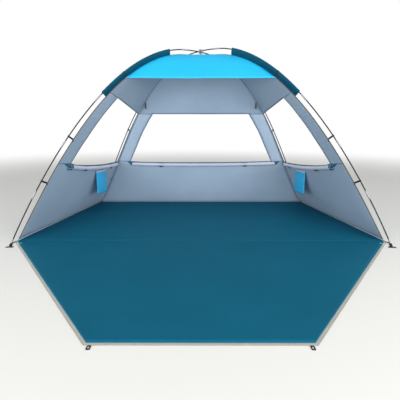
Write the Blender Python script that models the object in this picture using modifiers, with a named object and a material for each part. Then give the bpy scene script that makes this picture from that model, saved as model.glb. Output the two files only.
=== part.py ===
"""Pop-up style beach tent: two crossed bent poles carry a cabin with three windows,
and a door panel lies in front of it as a porch. Metres, +Z up, +Y to the back."""
import math

import bmesh
import bpy
import numpy as np
from mathutils import Matrix, Vector

# Driving dimensions of the cabin's plan
cabin_depth = 1.35
front_half_width = 1.452
back_half_width = 1.174
feet_y = -cabin_depth / 2
back_y = cabin_depth / 2

# Arch that the seams of the fabric follow
fabric_rise = 1.50
fabric_front_bow_share = 1.95
fabric_back_bow_share = 2.50
fabric_crown_share = 1.04
fabric_back_ease_share = 0.50
fabric_back_ease_power = 3.8

# Arch that the poles follow, outside the fabric
pole_rise_clearance = 0.042
pole_rise = fabric_rise + pole_rise_clearance
pole_front_spread = 0.020
pole_front_reach = 0.055
pole_back_spread = 0.026
pole_back_reach = 0.043
pole_front_bow_share = 1.90
pole_back_bow_share = 2.40
pole_crown_share = 0.98
pole_back_ease_share = 0.45
pole_back_ease_power = 3.6
arch_samples = 801

# Clearances between neighbours, and the distance within which points are made one
weld_distance = 0.00003
piece_gap = 0.0003
seam_gap = 0.0015
seat_gap = 0.0006

# Sheets
floor_thickness = 0.002
fabric_thickness = 0.0016
panel_sag = 0.010

# Stations of the seams, as shares of each half arch, from the foot to the apex
front_row_shares = (-1.0, -0.915, -0.83, -0.763, -0.68, -0.60, -0.54, -0.49, -0.46,
                    -0.415, -0.37, -0.27, -0.185, -0.10, -0.03, 0.04, 0.10)
back_row_shares = (1.0, 0.94, 0.875, 0.798, 0.74, 0.68, 0.65, 0.622, 0.598,
                   0.56, 0.49, 0.42, 0.34, 0.27, 0.20, 0.15, 0.112)
sill_row = 3
header_row = 8
hem_row = 10

# Windows, as shares of the width of the panel that they are cut in
side_window_sill_share = 0.162
side_window_header_share = 0.218
side_window_front_bow_share = 0.007
side_window_back_share = 0.98
back_window_sill_share = 0.075
back_window_header_share = 0.118

# Poles
rod_radius = 0.0046
ferrule_radius = 0.0060
ferrule_length = 0.070
ferrule_shoulder = 0.002
socket_depth = 0.030
socket_clearance = 0.00035
tip_radius = 0.0024
tip_length = 0.012
tip_point_radius = 0.0008
tip_lift = 0.002
section_count = 10
end_section_shortfall = 0.040
rod_sides = 8
rod_ring_spacing = 0.085
first_sleeved_section = 4
last_sleeved_section = 7

# Sleeves
sleeve_outer_reach = 0.0122
front_sleeve_inner_gap = 0.0009
back_sleeve_inner_gap = 0.0005
sleeve_half_thickness = 0.0090
sleeve_egg_share = 0.35
sleeve_wall = 0.0012
sleeve_sides = 10
sleeve_row_splits = 2
front_sleeve_rows = (7, 13)
back_sleeve_rows = (9, 14)
strap_width = 0.014
strap_thickness = 0.0012
strap_clearance = 0.0008

# Clips
front_clip_rows = (2, 4)
back_clip_rows = (2, 5)
clip_length = 0.014
clip_clearance = 0.0003
clip_wall = 0.0026
clip_mouth_angle = math.radians(70)
clip_tab_thickness = 0.0022
clip_tab_gap = 0.0022

# Porch door and its zip tape
porch_depth = 1.285
porch_front_half_width = 0.492
porch_fold_inset = 0.0075
porch_shoulder_inset = 0.022
porch_shoulder_depth = 0.035
zip_tape_width = 0.018
zip_tape_corner_inset = 0.0015
floor_corner_radius = 0.004
slider_length = 0.020
slider_width = 0.012
slider_height = 0.0055
slider_start = 0.072
slider_bevel_share = 0.25
slider_bevel_steps = 2
pull_length = 0.026
pull_width = 0.007
pull_thickness = 0.0016
pull_hole_radius = 0.0014
pull_corner_radius = 0.0014
pull_sides = 8
peg_loop_length = 0.028
peg_loop_width = 0.018
peg_loop_thickness = 0.0018
peg_loop_inset = 0.010
peg_slot_width = 0.008
peg_slot_length = 0.016

# Foot straps
foot_strap_width = 0.022
foot_strap_thickness = 0.0016
foot_strap_setback = 0.013
eyelet_radius = 0.0047
eyelet_sides = 10
front_peg_reach = 0.029
front_peg_drop = 0.082
back_peg_reach = 0.040
back_peg_drop = 0.060
peg_bar_half_length = 0.028
peg_bar_width = 0.022

# Rolled window flaps and toggles
roll_radius = 0.019
side_roll_sag = 0.026
back_roll_sag = 0.012
side_roll_hangs = (0.0, 0.012)
back_roll_hangs = (0.008, 0.002)
roll_pinch_share = 0.14
roll_pinch_half_length = 0.021
roll_pinch_slope = 0.030
roll_wall_gap = 0.0004
roll_sides = 10
roll_ring_count = 24
side_roll_shares = (0.055, 0.975)
back_roll_shares = (0.055, 0.945)
left_toggle_shares = (0.09, 0.34, 0.84)
right_toggle_shares = (0.09, 0.33, 0.86)
back_toggle_shares = (0.23, 0.80)
toggle_radius = 0.0060
toggle_waist_radius = 0.0046
toggle_length = 0.034
toggle_drop = 0.0004
toggle_sides = 10
toggle_end_radius_share = 0.60
toggle_profile_shares = (1.0, 0.82, 0.40, 0.20)

# Pockets
pocket_top = 0.445
pocket_height = 0.237
pocket_flare = 0.018
pocket_mouth_depth = 0.014
pocket_foot_depth = 0.007
pocket_wall = 0.0012
pocket_shares = (0.60, 0.765)
pocket_hang = 0.0026

# Hanging loops
hook_row_share = 0.54
hook_length = 0.060
hook_width = 0.007
hook_strap = 0.0012
hook_depth = 0.009
hook_side_inset = 0.010
hook_wall_inset = 0.0032
hook_drop = 0.006
hook_corner_share = 0.98

# Tie at the crossing
tie_width = 0.020
tie_strap = 0.0020
tie_half_gap = 0.0130
tie_corner = 0.0030
tie_clearance = 0.0013


def srgb(red, green, blue):
    """Linear colour of an 8-bit screen colour."""
    return tuple((value / 255.0) ** 2.2 for value in (red, green, blue)) + (1.0,)


def make_material(name, colour, roughness, metallic):
    """A plain surface with the given colour, roughness and metallic value."""
    material = bpy.data.materials.new(name)
    material.use_nodes = True
    shader = material.node_tree.nodes["Principled BSDF"]
    shader.inputs["Base Color"].default_value = colour
    shader.inputs["Roughness"].default_value = roughness
    shader.inputs["Metallic"].default_value = metallic
    material.diffuse_color = colour
    return material


def clear_scene():
    """Remove whatever the file holds."""
    for old in list(bpy.data.objects):
        bpy.data.objects.remove(old, do_unlink=True)


def add_object(name, data, material):
    """Put new geometry into the tent's collection."""
    item = bpy.data.objects.new(name, data)
    data.materials.clear()
    data.materials.append(material)
    tent_collection.objects.link(item)
    return item


def add_axis_empty(name, place, axis):
    """An empty on a joint, with its X axis along the joint's axis."""
    empty = bpy.data.objects.new(name, None)
    turn = Vector(axis).to_track_quat("X", "Z").to_matrix().to_4x4()
    empty.matrix_world = Matrix.Translation(place) @ turn
    axis_places[name] = empty.matrix_world.copy()
    tent_collection.objects.link(empty)
    return empty


def hang_on(item, empty):
    """Parent a piece that already stands in its place to a joint's empty."""
    item.parent = empty
    item.matrix_parent_inverse = axis_places[empty.name].inverted()


def arch_point(front, back, rise, bows, crown, ease, share, side):
    """A point of a bent arch. share runs from -1 at the front foot to 1 at the back foot;
    side is 1 for the arch that starts at the left foot and -1 for its mirror image. ease
    draws the back leg in, so that it runs nearly straight to its foot."""
    travel = (share + 1.0) / 2.0
    plan = front.lerp(back, travel)
    bow = bows[0] if share < 0 else bows[1]
    height = rise * max(0.0, 1.0 - abs(share) ** bow) ** crown
    if share > 0:
        height *= 1.0 - ease[0] * share ** ease[1]
    return Vector((side * plan.x, plan.y, height))


def seam_point(share, side):
    """A point of the line where two fabric panels meet."""
    front = Vector((-front_half_width, feet_y))
    back = Vector((back_half_width, back_y))
    bows = (fabric_front_bow_share, fabric_back_bow_share)
    ease = (fabric_back_ease_share, fabric_back_ease_power)
    return arch_point(front, back, fabric_rise, bows, fabric_crown_share, ease, share, side)


def pole_point(share, side):
    """A point of a pole's centre line. The right pole passes over the left one."""
    front = Vector((-front_half_width - pole_front_spread, feet_y - pole_front_reach))
    back = Vector((back_half_width + pole_back_spread, back_y + pole_back_reach))
    bows = (pole_front_bow_share, pole_back_bow_share)
    ease = (pole_back_ease_share, pole_back_ease_power)
    rise = pole_rise - side * (rod_radius + piece_gap)
    return arch_point(front, back, rise, bows, pole_crown_share, ease, share, side)


def pole_table(side):
    """Length along a pole, from its front foot, at evenly spaced shares."""
    shares = np.linspace(-1.0, 1.0, arch_samples)
    points = np.array([pole_point(share, side) for share in shares])
    steps = np.linalg.norm(np.diff(points, axis=0), axis=1)
    return shares, np.concatenate(([0.0], np.cumsum(steps)))


def pole_frame(share, side):
    """Place, tangent, direction towards the fabric, and the third axis, on a pole."""
    step_share = 0.002
    here = pole_point(share, side)
    low = pole_point(max(-1.0, share - step_share), side)
    high = pole_point(min(1.0, share + step_share), side)
    tangent = (high - low).normalized()
    inward = seam_point(share, side) - here
    inward -= tangent * inward.dot(tangent)
    reach = inward.length
    inward.normalize()
    return here, tangent, inward, tangent.cross(inward), reach


def mesh_from_bmesh(name, shape):
    """Turn a bmesh into a mesh and free it."""
    mesh = bpy.data.meshes.new(name)
    shape.to_mesh(mesh)
    shape.free()
    return mesh


def row_sheet(name, rows, opening, thickness, material, closed=False):
    """A sheet through rows of points, given its thickness on both sides. opening is the
    block of cells left out, as (first row, last row, first column, last column)."""
    row_steps = len(rows) - 1
    column_steps = len(rows[0]) - 1
    shape = bmesh.new()
    bmesh.ops.create_grid(shape, x_segments=column_steps, y_segments=row_steps, size=1.0)
    cells = {}
    for face in shape.faces:
        middle = face.calc_center_median()
        cells[face] = (int((middle.y + 1.0) * row_steps / 2), int((middle.x + 1.0) * column_steps / 2))
    places = {}
    for vertex in shape.verts:
        column = round((vertex.co.x + 1.0) * column_steps / 2)
        row = round((vertex.co.y + 1.0) * row_steps / 2)
        places[vertex] = rows[row][column]
    for vertex, place in places.items():
        vertex.co = place
    if opening is not None:
        first_row, last_row, first_column, last_column = opening
        gone = [face for face, (row, column) in cells.items()
                if first_row <= row < last_row and first_column <= column < last_column]
        bmesh.ops.delete(shape, geom=gone, context="FACES")
    if closed:
        bmesh.ops.remove_doubles(shape, verts=shape.verts, dist=weld_distance)
    item = add_object(name, mesh_from_bmesh(name, shape), material)
    wall = item.modifiers.new("wall", "SOLIDIFY")
    wall.thickness = thickness
    wall.offset = 0.0
    return item


def flat_plate(name, outline, thickness, material, holes=()):
    """A plate of even thickness, cut from a flat outline, standing on z = 0."""
    curve = bpy.data.curves.new(name, "CURVE")
    curve.dimensions = "2D"
    curve.fill_mode = "BOTH"
    curve.extrude = thickness / 2
    for points in (outline, *holes):
        spline = curve.splines.new("POLY")
        spline.points.add(len(points) - 1)
        for target, point in zip(spline.points, points):
            target.co = (point[0], point[1], 0.0, 1.0)
        spline.use_cyclic_u = True
    return add_object(name, curve, material)


def rounded_outline(points, radius, steps=4):
    """A closed outline with its corners turned into arcs."""
    result = []
    count = len(points)
    for index in range(count):
        corner = Vector(points[index])
        before = (Vector(points[index - 1]) - corner).normalized()
        after = (Vector(points[(index + 1) % count]) - corner).normalized()
        half_angle = before.angle(after) / 2
        setback = radius / math.tan(half_angle)
        middle = corner + (before + after).normalized() * (radius / math.sin(half_angle))
        start = corner + before * setback - middle
        turn = start.angle_signed(corner + after * setback - middle)
        for step in range(steps + 1):
            angle = -turn * step / steps
            spoke = Matrix.Rotation(angle, 2) @ start
            result.append(tuple(middle + spoke))
    return result


def ring_outline(centre, radius, sides):
    """A regular outline round a centre."""
    angles = [2.0 * math.pi * step / sides for step in range(sides)]
    return [(centre.x + radius * math.cos(angle), centre.y + radius * math.sin(angle))
            for angle in angles]


def left_of(direction):
    """The direction a quarter turn to the left."""
    return Vector((-direction.y, direction.x))


def slot_outline(centre, along):
    """A rounded slot that a tent peg goes through."""
    across = left_of(along) * peg_slot_width / 2
    ahead = along * peg_slot_length / 2
    points = [centre + ahead + across, centre - ahead + across,
              centre - ahead - across, centre + ahead - across]
    return rounded_outline([tuple(point) for point in points], peg_slot_width / 3, 2)


def strip_outline(centres, halves):
    """The outline of a strip, from its centre points and its half-width vectors."""
    left = [tuple(centre + half) for centre, half in zip(centres, halves)]
    right = [tuple(centre - half) for centre, half in zip(centres, halves)]
    return left + right[::-1]


def round_rod(name, points, radii, resolution, material):
    """A solid round bar along the points, with its own radius at each of them."""
    curve = bpy.data.curves.new(name, "CURVE")
    curve.dimensions = "3D"
    curve.bevel_depth = radii[0]
    curve.bevel_resolution = resolution
    curve.use_fill_caps = True
    spline = curve.splines.new("POLY")
    spline.points.add(len(points) - 1)
    for target, point, radius in zip(spline.points, points, radii):
        target.co = (*point, 1.0)
        target.radius = radius / radii[0]
    return add_object(name, curve, material)


def turned_mesh(name, profile, sides):
    """A turned mesh round Z. The profile runs down its outer side, as (radius, height)."""
    shape = bmesh.new()
    corners = [shape.verts.new((radius, 0.0, height)) for radius, height in profile]
    for first, second in zip(corners, corners[1:]):
        shape.edges.new((first, second))
    mesh = mesh_from_bmesh(name, shape)
    blank = bpy.data.objects.new(name + "_blank", mesh)
    tent_collection.objects.link(blank)
    screw = blank.modifiers.new("turn", "SCREW")
    screw.steps = sides
    screw.render_steps = sides
    screw.use_merge_vertices = True
    screw.merge_threshold = weld_distance
    bpy.context.view_layer.update()
    graph = bpy.context.evaluated_depsgraph_get()
    turned = bpy.data.meshes.new_from_object(blank.evaluated_get(graph))
    bpy.data.objects.remove(blank, do_unlink=True)
    bpy.data.meshes.remove(mesh)
    shape = bmesh.new()
    shape.from_mesh(turned)
    bmesh.ops.remove_doubles(shape, verts=shape.verts, dist=weld_distance)
    shape.to_mesh(turned)
    shape.free()
    turned.name = name
    return turned


def rod_rings(low, high, held):
    """Heights of the rings of a plain stretch of rod, from the top. The held heights,
    where a clip or a socket goes round the rod, get a ring each."""
    stops = sorted({low, high} | {height for height in held if low < height < high})
    rings = [low]
    for first, second in zip(stops, stops[1:]):
        steps = max(1, math.ceil((second - first) / rod_ring_spacing))
        rings += [first + (second - first) * step / steps for step in range(1, steps + 1)]
    return rings[::-1]


def section_profile(length, joints, first, last, held):
    """Turned profile of one or more rod sections, from the top of the last one down.
    joints holds the heights of the ferrule ends. The first section of a pole starts
    with a tip and its last section ends in one."""
    profile = []
    top = length
    if last:
        profile += [(0.0, length), (tip_point_radius, length)]
        profile += [(tip_radius, length - tip_point_radius), (tip_radius, length - tip_length)]
        top = length - tip_length - ferrule_shoulder
    else:
        bore = rod_radius + socket_clearance
        profile += [(0.0, length - socket_depth), (bore, length - socket_depth), (bore, length)]
    bottom = tip_length + ferrule_shoulder if first else 0.0
    for joint in sorted(joints, reverse=True):
        if joint < length:
            rings = rod_rings(joint + ferrule_shoulder, top, held)
            profile += [(rod_radius, height) for height in rings]
        shoulder = joint - ferrule_length
        profile += [(ferrule_radius, joint), (ferrule_radius, shoulder + ferrule_shoulder)]
        top = shoulder
    profile += [(rod_radius, height) for height in rod_rings(bottom, top, held)]
    if first:
        profile += [(tip_radius, tip_length), (tip_radius, tip_point_radius)]
        profile += [(tip_point_radius, 0.0)]
    profile += [(0.0, 0.0)]
    return profile


def bend_onto_pole(mesh, start, side, table):
    """Move a mesh that stands along Z onto a pole, with z = 0 at the given length."""
    shares, lengths = table
    frames = {}
    for vertex in mesh.vertices:
        height = round(vertex.co.z, 7)
        if height not in frames:
            share = float(np.interp(start + height, lengths, shares))
            frames[height] = pole_frame(share, side)
        here, _, inward, third, _ = frames[height]
        vertex.co = here + inward * vertex.co.x + third * vertex.co.y


def clip_lengths(table, side):
    """Lengths along a pole at which a clip starts and ends."""
    shares, lengths = table
    rows = [front_row_shares[row] for row in front_clip_rows]
    rows += [back_row_shares[row] for row in back_clip_rows]
    middles = [float(np.interp(share, shares, lengths)) for share in rows]
    return [middle + end for middle in middles for end in (-clip_length / 2, clip_length / 2)]


def add_pole(side_name, side):
    """One pole: three front sections, the four that the sleeves hide, three rear ones."""
    table = pole_table(side)
    usable = table[1][-1] - 2 * tip_lift
    overlap = socket_depth - piece_gap
    spare = overlap * (section_count - 1) + 2 * end_section_shortfall
    length = (usable + spare) / section_count
    pitch = length - overlap
    clips = clip_lengths(table, side)
    groups = [(number, number) for number in range(1, first_sleeved_section)]
    groups += [(first_sleeved_section, last_sleeved_section)]
    groups += [(number, number) for number in range(last_sleeved_section + 1, section_count + 1)]
    for low, high in groups:
        name = f"{side_name}_pole_section_{low}"
        if high > low:
            name = f"{side_name}_pole_middle_sections"
        start = tip_lift + pitch * (low - 1)
        if low > 1:
            start -= end_section_shortfall
        joints = [length + pitch * step for step in range(high - low + 1)]
        whole = joints[-1]
        if low == 1 or high == section_count:
            whole -= end_section_shortfall
        joints = [whole] if low == 1 else joints
        if high == section_count:
            joints = []
        held = [overlap] + [place - start for place in clips]
        profile = section_profile(whole, joints, low == 1, high == section_count, held)
        mesh = turned_mesh(name, profile, rod_sides)
        bend_onto_pole(mesh, start, side, table)
        item = add_object(name, mesh, pole_black)
        item.data.shade_smooth()


def seam_rows(shares, side):
    """The seam's points at every row, with the lowest one lifted onto the floor."""
    points = [seam_point(share, side) for share in shares]
    points[0].z = floor_thickness + piece_gap + fabric_thickness / 2
    return points


def fill_row(first, second, shares, drop):
    """Points between two seam points, drawn in a little, clear of both seams."""
    span = second - first
    edge = seam_gap / span.length
    row = []
    for share in shares:
        held = min(max(share, edge), 1.0 - edge)
        row.append(first + span * held + drop * (4.0 * held * (1.0 - held)))
    return row


def panel_rows(first_seam, second_seam, column_shares, rows):
    """Rows of points of a panel between two seams."""
    longest = max((b - a).length for a, b in zip(first_seam, second_seam))
    middle = Vector((0.0, 0.0, fabric_rise / 3))
    result = []
    for row in rows:
        first = first_seam[row]
        second = second_seam[row]
        across = second - first
        below = max(row - 1, 0)
        above = min(row + 1, len(first_seam) - 1)
        rise = first_seam[above] + second_seam[above] - first_seam[below] - second_seam[below]
        inward = across.cross(rise).normalized()
        if inward.dot(middle - (first + second) / 2) < 0:
            inward.negate()
        depth = panel_sag * across.length / longest if row > 0 else 0.0
        result.append(fill_row(first, second, column_shares(row), inward * depth))
    return result


def side_columns(row):
    """Columns of a side panel: the strip before the window, the window, the seam."""
    travel = (row - sill_row) / (header_row - sill_row)
    travel = min(max(travel, 0.0), 1.0)
    first = side_window_sill_share + (side_window_header_share - side_window_sill_share) * travel
    first += side_window_front_bow_share * 4.0 * travel * (1.0 - travel)
    last = side_window_back_share
    inner = [first + (last - first) * step / 4 for step in range(5)]
    return [0.0, first / 2, *inner, 1.0]


def back_columns(row):
    """Columns of the back panel: its window stands between two slanting posts."""
    travel = (row - sill_row) / (header_row - sill_row)
    travel = min(max(travel, 0.0), 1.0)
    post = back_window_sill_share + (back_window_header_share - back_window_sill_share) * travel
    inner = [post + (1.0 - 2.0 * post) * step / 6 for step in range(7)]
    return [0.0, *inner, 1.0]


def visor_columns(row):
    """Columns of the visor, evenly spaced."""
    return [step / 6 for step in range(7)]


def add_panels():
    """The back panel, the two side panels and the visor."""
    rows = range(len(front_row_shares))
    for side_name, side in (("left", 1), ("right", -1)):
        front_seam = seam_rows(front_row_shares, side)
        back_seam = seam_rows(back_row_shares, -side)
        sheets[side_name] = panel_rows(front_seam, back_seam, side_columns, rows)
        opening = (sill_row, header_row, 2, 6)
        row_sheet(f"{side_name}_side_panel", sheets[side_name], opening,
                  fabric_thickness, cabin_grey)
    left_seam = seam_rows(back_row_shares, -1)
    right_seam = seam_rows(back_row_shares, 1)
    sheets["back"] = panel_rows(left_seam, right_seam, back_columns, rows)
    row_sheet("back_panel", sheets["back"], (sill_row, header_row, 1, 7),
              fabric_thickness, cabin_grey)
    visor_rows = range(hem_row, len(front_row_shares))
    left_seam = seam_rows(front_row_shares, 1)
    right_seam = seam_rows(front_row_shares, -1)
    sheets["visor"] = panel_rows(left_seam, right_seam, visor_columns, visor_rows)
    row_sheet("visor", sheets["visor"], None, fabric_thickness, visor_blue)


def add_floor():
    """The floor sheet, whose four corners are slightly rounded."""
    outline = [(-front_half_width, feet_y), (front_half_width, feet_y),
               (back_half_width, back_y), (-back_half_width, back_y)]
    item = flat_plate("floor_sheet", rounded_outline(outline, floor_corner_radius),
                      floor_thickness, floor_teal)
    item.location.z = floor_thickness / 2


def porch_edge(outset):
    """Points of the porch's right side and front corner, moved outwards by the outset:
    at the fold, at the shoulder and at the front."""
    shoulder = Vector((front_half_width - porch_shoulder_inset, feet_y - porch_shoulder_depth))
    front = Vector((porch_front_half_width, feet_y - porch_depth))
    slope = (shoulder - front).normalized()
    widening = outset / slope.y
    front_widening = outset * (1.0 - slope.x) / slope.y
    fold_x = front_half_width - porch_fold_inset
    limit = front_half_width - zip_tape_corner_inset
    if outset > 0:
        fold_x = limit
    rise = (shoulder.x + widening - limit) / (slope.x / slope.y)
    if rise > 0:
        shoulder -= slope * (rise / slope.y)
    fold = Vector((fold_x, feet_y - piece_gap))
    return fold, shoulder + Vector((widening, 0.0)), front + Vector((front_widening, -outset))


def add_porch(hinge):
    """The door panel, flat in front of the cabin, and the zip tape along its free edges."""
    panel_side = porch_edge(0.0)
    outline = [tuple(point) for point in panel_side]
    outline += [(-point.x, point.y) for point in reversed(panel_side)]
    panel = flat_plate("porch_door_panel", outline, floor_thickness, floor_teal)
    inner_side = porch_edge(piece_gap)
    inner_side[0].x = panel_side[0].x + piece_gap
    outer_side = porch_edge(zip_tape_width)
    outline = [tuple(point) for point in outer_side]
    outline += [(-point.x, point.y) for point in reversed(outer_side)]
    outline += [(-point.x, point.y) for point in inner_side]
    outline += [tuple(point) for point in reversed(inner_side)]
    tape = flat_plate("porch_zip_tape", outline, floor_thickness, tape_silver)
    for item in (panel, tape):
        item.location.z = floor_thickness / 2
        hang_on(item, hinge)


def add_slider(side_name, side, hinge):
    """A zip slider on the tape, near the fold, with its pull laid inwards."""
    _, shoulder, front = porch_edge(0.0)
    start = Vector((side * shoulder.x, shoulder.y, 0.0))
    along = (Vector((side * front.x, front.y, 0.0)) - start).normalized()
    inwards = Vector((along.y * side, -along.x * side, 0.0))
    travel = (slider_start - porch_shoulder_depth) / -along.y
    place = start + along * travel - inwards * zip_tape_width / 2
    frame = Matrix((along, Vector((0.0, 0.0, 1.0)).cross(along), (0.0, 0.0, 1.0)))
    frame = frame.transposed().to_4x4()
    shape = bmesh.new()
    size = Matrix.Diagonal((slider_length, slider_width, slider_height, 1.0))
    bmesh.ops.create_cube(shape, size=1.0, matrix=frame @ size)
    bmesh.ops.bevel(shape, geom=shape.edges[:], offset=slider_height * slider_bevel_share,
                    segments=slider_bevel_steps, affect="EDGES", profile=0.5)
    body = add_object(f"{side_name}_zip_slider", mesh_from_bmesh(side_name, shape), zip_aqua)
    body.location = place + Vector((0.0, 0.0, floor_thickness + piece_gap + slider_height / 2))
    outline = [(-pull_length / 2, -pull_width / 3), (pull_length / 2, -pull_width / 2),
               (pull_length / 2, pull_width / 2), (-pull_length / 2, pull_width / 3)]
    hole = ring_outline(Vector((pull_length / 4, 0.0)), pull_hole_radius, pull_sides)
    pull = flat_plate(f"{side_name}_pull_blank", rounded_outline(outline, pull_corner_radius, 2),
                      pull_thickness, zip_aqua, holes=(hole,))
    reach = slider_width / 2 + pull_length / 2 - slider_height / 2
    turn = Matrix((inwards, Vector((0.0, 0.0, 1.0)).cross(inwards), (0.0, 0.0, 1.0)))
    pull.matrix_world = Matrix.Translation(
        body.location + inwards * reach - Vector((0.0, 0.0, slider_height / 8))
    ) @ turn.transposed().to_4x4()
    joined = join_solids(body, pull)
    slide = add_axis_empty(f"{side_name}_slider_axis", place, along)
    hang_on(joined, slide)
    hang_on(slide, hinge)


def mesh_of(item):
    """The evaluated mesh of an object, in world space, with its caps welded."""
    bpy.context.view_layer.update()
    graph = bpy.context.evaluated_depsgraph_get()
    mesh = bpy.data.meshes.new_from_object(item.evaluated_get(graph))
    mesh.transform(item.matrix_world)
    shape = bmesh.new()
    shape.from_mesh(mesh)
    bmesh.ops.remove_doubles(shape, verts=shape.verts, dist=weld_distance)
    shape.to_mesh(mesh)
    shape.free()
    return mesh


def join_solids(kept, added):
    """Fuse a second solid into the first one and keep the first one's name."""
    kept_mesh = mesh_of(kept)
    added_mesh = mesh_of(added)
    material = kept.data.materials[0]
    name = kept.name
    bpy.data.objects.remove(kept, do_unlink=True)
    bpy.data.objects.remove(added, do_unlink=True)
    result = add_object(name, kept_mesh, material)
    tool = bpy.data.objects.new(name + "_tool", added_mesh)
    tool.hide_render = True
    tool.display_type = "WIRE"
    cutter_collection.objects.link(tool)
    union = result.modifiers.new("join", "BOOLEAN")
    union.operation = "UNION"
    union.object = tool
    return result


def add_peg_loop(side_name, side, porch_hinge):
    """A webbing loop at a front corner of the porch, flat on the ground."""
    x = side * (porch_front_half_width - peg_loop_width / 2 - peg_loop_inset)
    y = feet_y - porch_depth - zip_tape_width - piece_gap
    half = peg_loop_width / 2
    outline = [(-half, 0.0), (half, 0.0), (half, -peg_loop_length), (-half, -peg_loop_length)]
    slot = slot_outline(Vector((0.0, -peg_loop_length / 2)), Vector((0.0, 1.0)))
    hinge = add_axis_empty(f"{side_name}_peg_loop_axis", (x, y, floor_thickness),
                           (-1.0, 0.0, 0.0))
    item = flat_plate(f"{side_name}_porch_peg_loop",
                      rounded_outline(outline, peg_loop_width / 4, 3),
                      peg_loop_thickness, webbing_black, holes=(slot,))
    item.location = (x, y, peg_loop_thickness / 2)
    hang_on(item, hinge)
    hang_on(hinge, porch_hinge)


def sleeve_ring(share, side, angles, inner_gap, offset, shift):
    """Points round a sleeve's egg-shaped section, whose thicker end holds the pole.
    offset moves them outwards and shift moves them along the pole."""
    here, tangent, inward, third, reach = pole_frame(share, side)
    inner = reach - inner_gap - sleeve_wall / 2 + offset
    outer = -sleeve_outer_reach - offset
    points = []
    for angle in angles:
        fullness = 1.0 - sleeve_egg_share * math.cos(angle)
        along = (outer + inner) / 2 + (inner - outer) / 2 * math.cos(angle)
        across = (sleeve_half_thickness + offset) * math.sin(angle) * fullness
        points.append(here + tangent * shift + inward * along + third * across)
    return points


def add_sleeve(name, row_range, shares, side, inner_gap):
    """A flat fabric tunnel round a pole, from its outer edge in to the fabric's seam."""
    angles = [2.0 * math.pi * (step % sleeve_sides) / sleeve_sides
              for step in range(sleeve_sides + 1)]
    stops = []
    for row in range(row_range[0], row_range[1]):
        stops += [shares[row] + (shares[row + 1] - shares[row]) * step / sleeve_row_splits
                  for step in range(sleeve_row_splits)]
    stops.append(shares[row_range[1]])
    rows = [sleeve_ring(share, side, angles, inner_gap, 0.0, 0.0) for share in stops]
    row_sheet(name, rows, None, sleeve_wall, sleeve_teal, closed=True)


def add_sleeve_strap(name, side):
    """A webbing strap over the outer edge of a front sleeve, at the visor's corner."""
    offset = sleeve_wall / 2 + strap_clearance + strap_thickness / 2
    first_step = 2
    angles = [2.0 * math.pi * step / sleeve_sides
              for step in range(first_step, sleeve_sides - first_step + 1)]
    share = front_row_shares[hem_row]
    rows = [sleeve_ring(share, side, angles, front_sleeve_inner_gap, offset, end)
            for end in (-strap_width / 2, strap_width / 2)]
    row_sheet(name, rows, None, strap_thickness, webbing_black)


def add_clip(name, share, side):
    """A plastic hook that snaps round the pole, with a webbing tab to the fabric."""
    here, tangent, inward, third, reach = pole_frame(share, side)
    inner_radius = rod_radius + clip_clearance
    outer_radius = inner_radius + clip_wall
    half_mouth = clip_mouth_angle / 2
    steps = 10
    outline = []
    half_tab = clip_tab_thickness / 2
    tab_angle = math.asin(half_tab / outer_radius)
    for step in range(steps + 1):
        angle = tab_angle + (math.pi - half_mouth - tab_angle) * step / steps
        outline.append((outer_radius * math.cos(angle), outer_radius * math.sin(angle)))
    for step in range(2 * steps + 1):
        angle = math.pi - half_mouth - (2.0 * math.pi - clip_mouth_angle) * step / (2 * steps)
        outline.append((inner_radius * math.cos(angle), inner_radius * math.sin(angle)))
    for step in range(steps + 1):
        angle = -(math.pi - half_mouth) + (math.pi - half_mouth - tab_angle) * step / steps
        outline.append((outer_radius * math.cos(angle), outer_radius * math.sin(angle)))
    end = reach - clip_tab_gap
    outline += [(end, -half_tab), (end, half_tab)]
    item = flat_plate(name, outline, clip_length, clip_black)
    frame = Matrix((inward, third, tangent)).transposed().to_4x4()
    item.matrix_world = Matrix.Translation(here) @ frame


def add_foot_strap(name, start, outward, foot, end, heading):
    """A webbing strap from the floor's corner to the pole's tip, and on to a cross bar
    of webbing that takes the peg."""
    half = foot_strap_width / 2
    forward = (end - foot).normalized()
    turn = ((foot - start).normalized() + forward).normalized()
    halves = [left_of(direction) * half for direction in (outward, turn, forward)]
    halves += [left_of(heading) * peg_bar_half_length] * 2
    neck = end - heading * peg_bar_width / 2
    tail = end + heading * peg_bar_width / 2
    outline = strip_outline([start, foot, neck, neck, tail], halves)
    hole = ring_outline(foot, eyelet_radius, eyelet_sides)
    slot = slot_outline(end, left_of(heading))
    item = flat_plate(name, outline, foot_strap_thickness, webbing_black, holes=(hole, slot))
    item.location.z = foot_strap_thickness / 2


def add_foot_straps():
    """The four foot straps, at the two ends of both poles."""
    for side_name, side in (("left", -1), ("right", 1)):
        front = Vector((side * front_half_width, feet_y))
        back = Vector((side * back_half_width, back_y))
        along = (back - front).normalized()
        outward = left_of(along) * -side
        foot = Vector((side * (front_half_width + pole_front_spread), feet_y - pole_front_reach))
        end = foot + Vector((-side * front_peg_reach, -front_peg_drop))
        start = front + along * foot_strap_setback + outward * piece_gap
        add_foot_strap(f"{side_name}_front_foot_strap", start, outward, foot, end,
                       Vector((0.0, -1.0)))
        foot = Vector((side * (back_half_width + pole_back_spread), back_y + pole_back_reach))
        end = foot + Vector((side * back_peg_reach, back_peg_drop))
        start = back - along * foot_strap_setback + outward * piece_gap
        add_foot_strap(f"{side_name}_back_foot_strap", start, outward, foot, end,
                       (end - foot).normalized())


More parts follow.
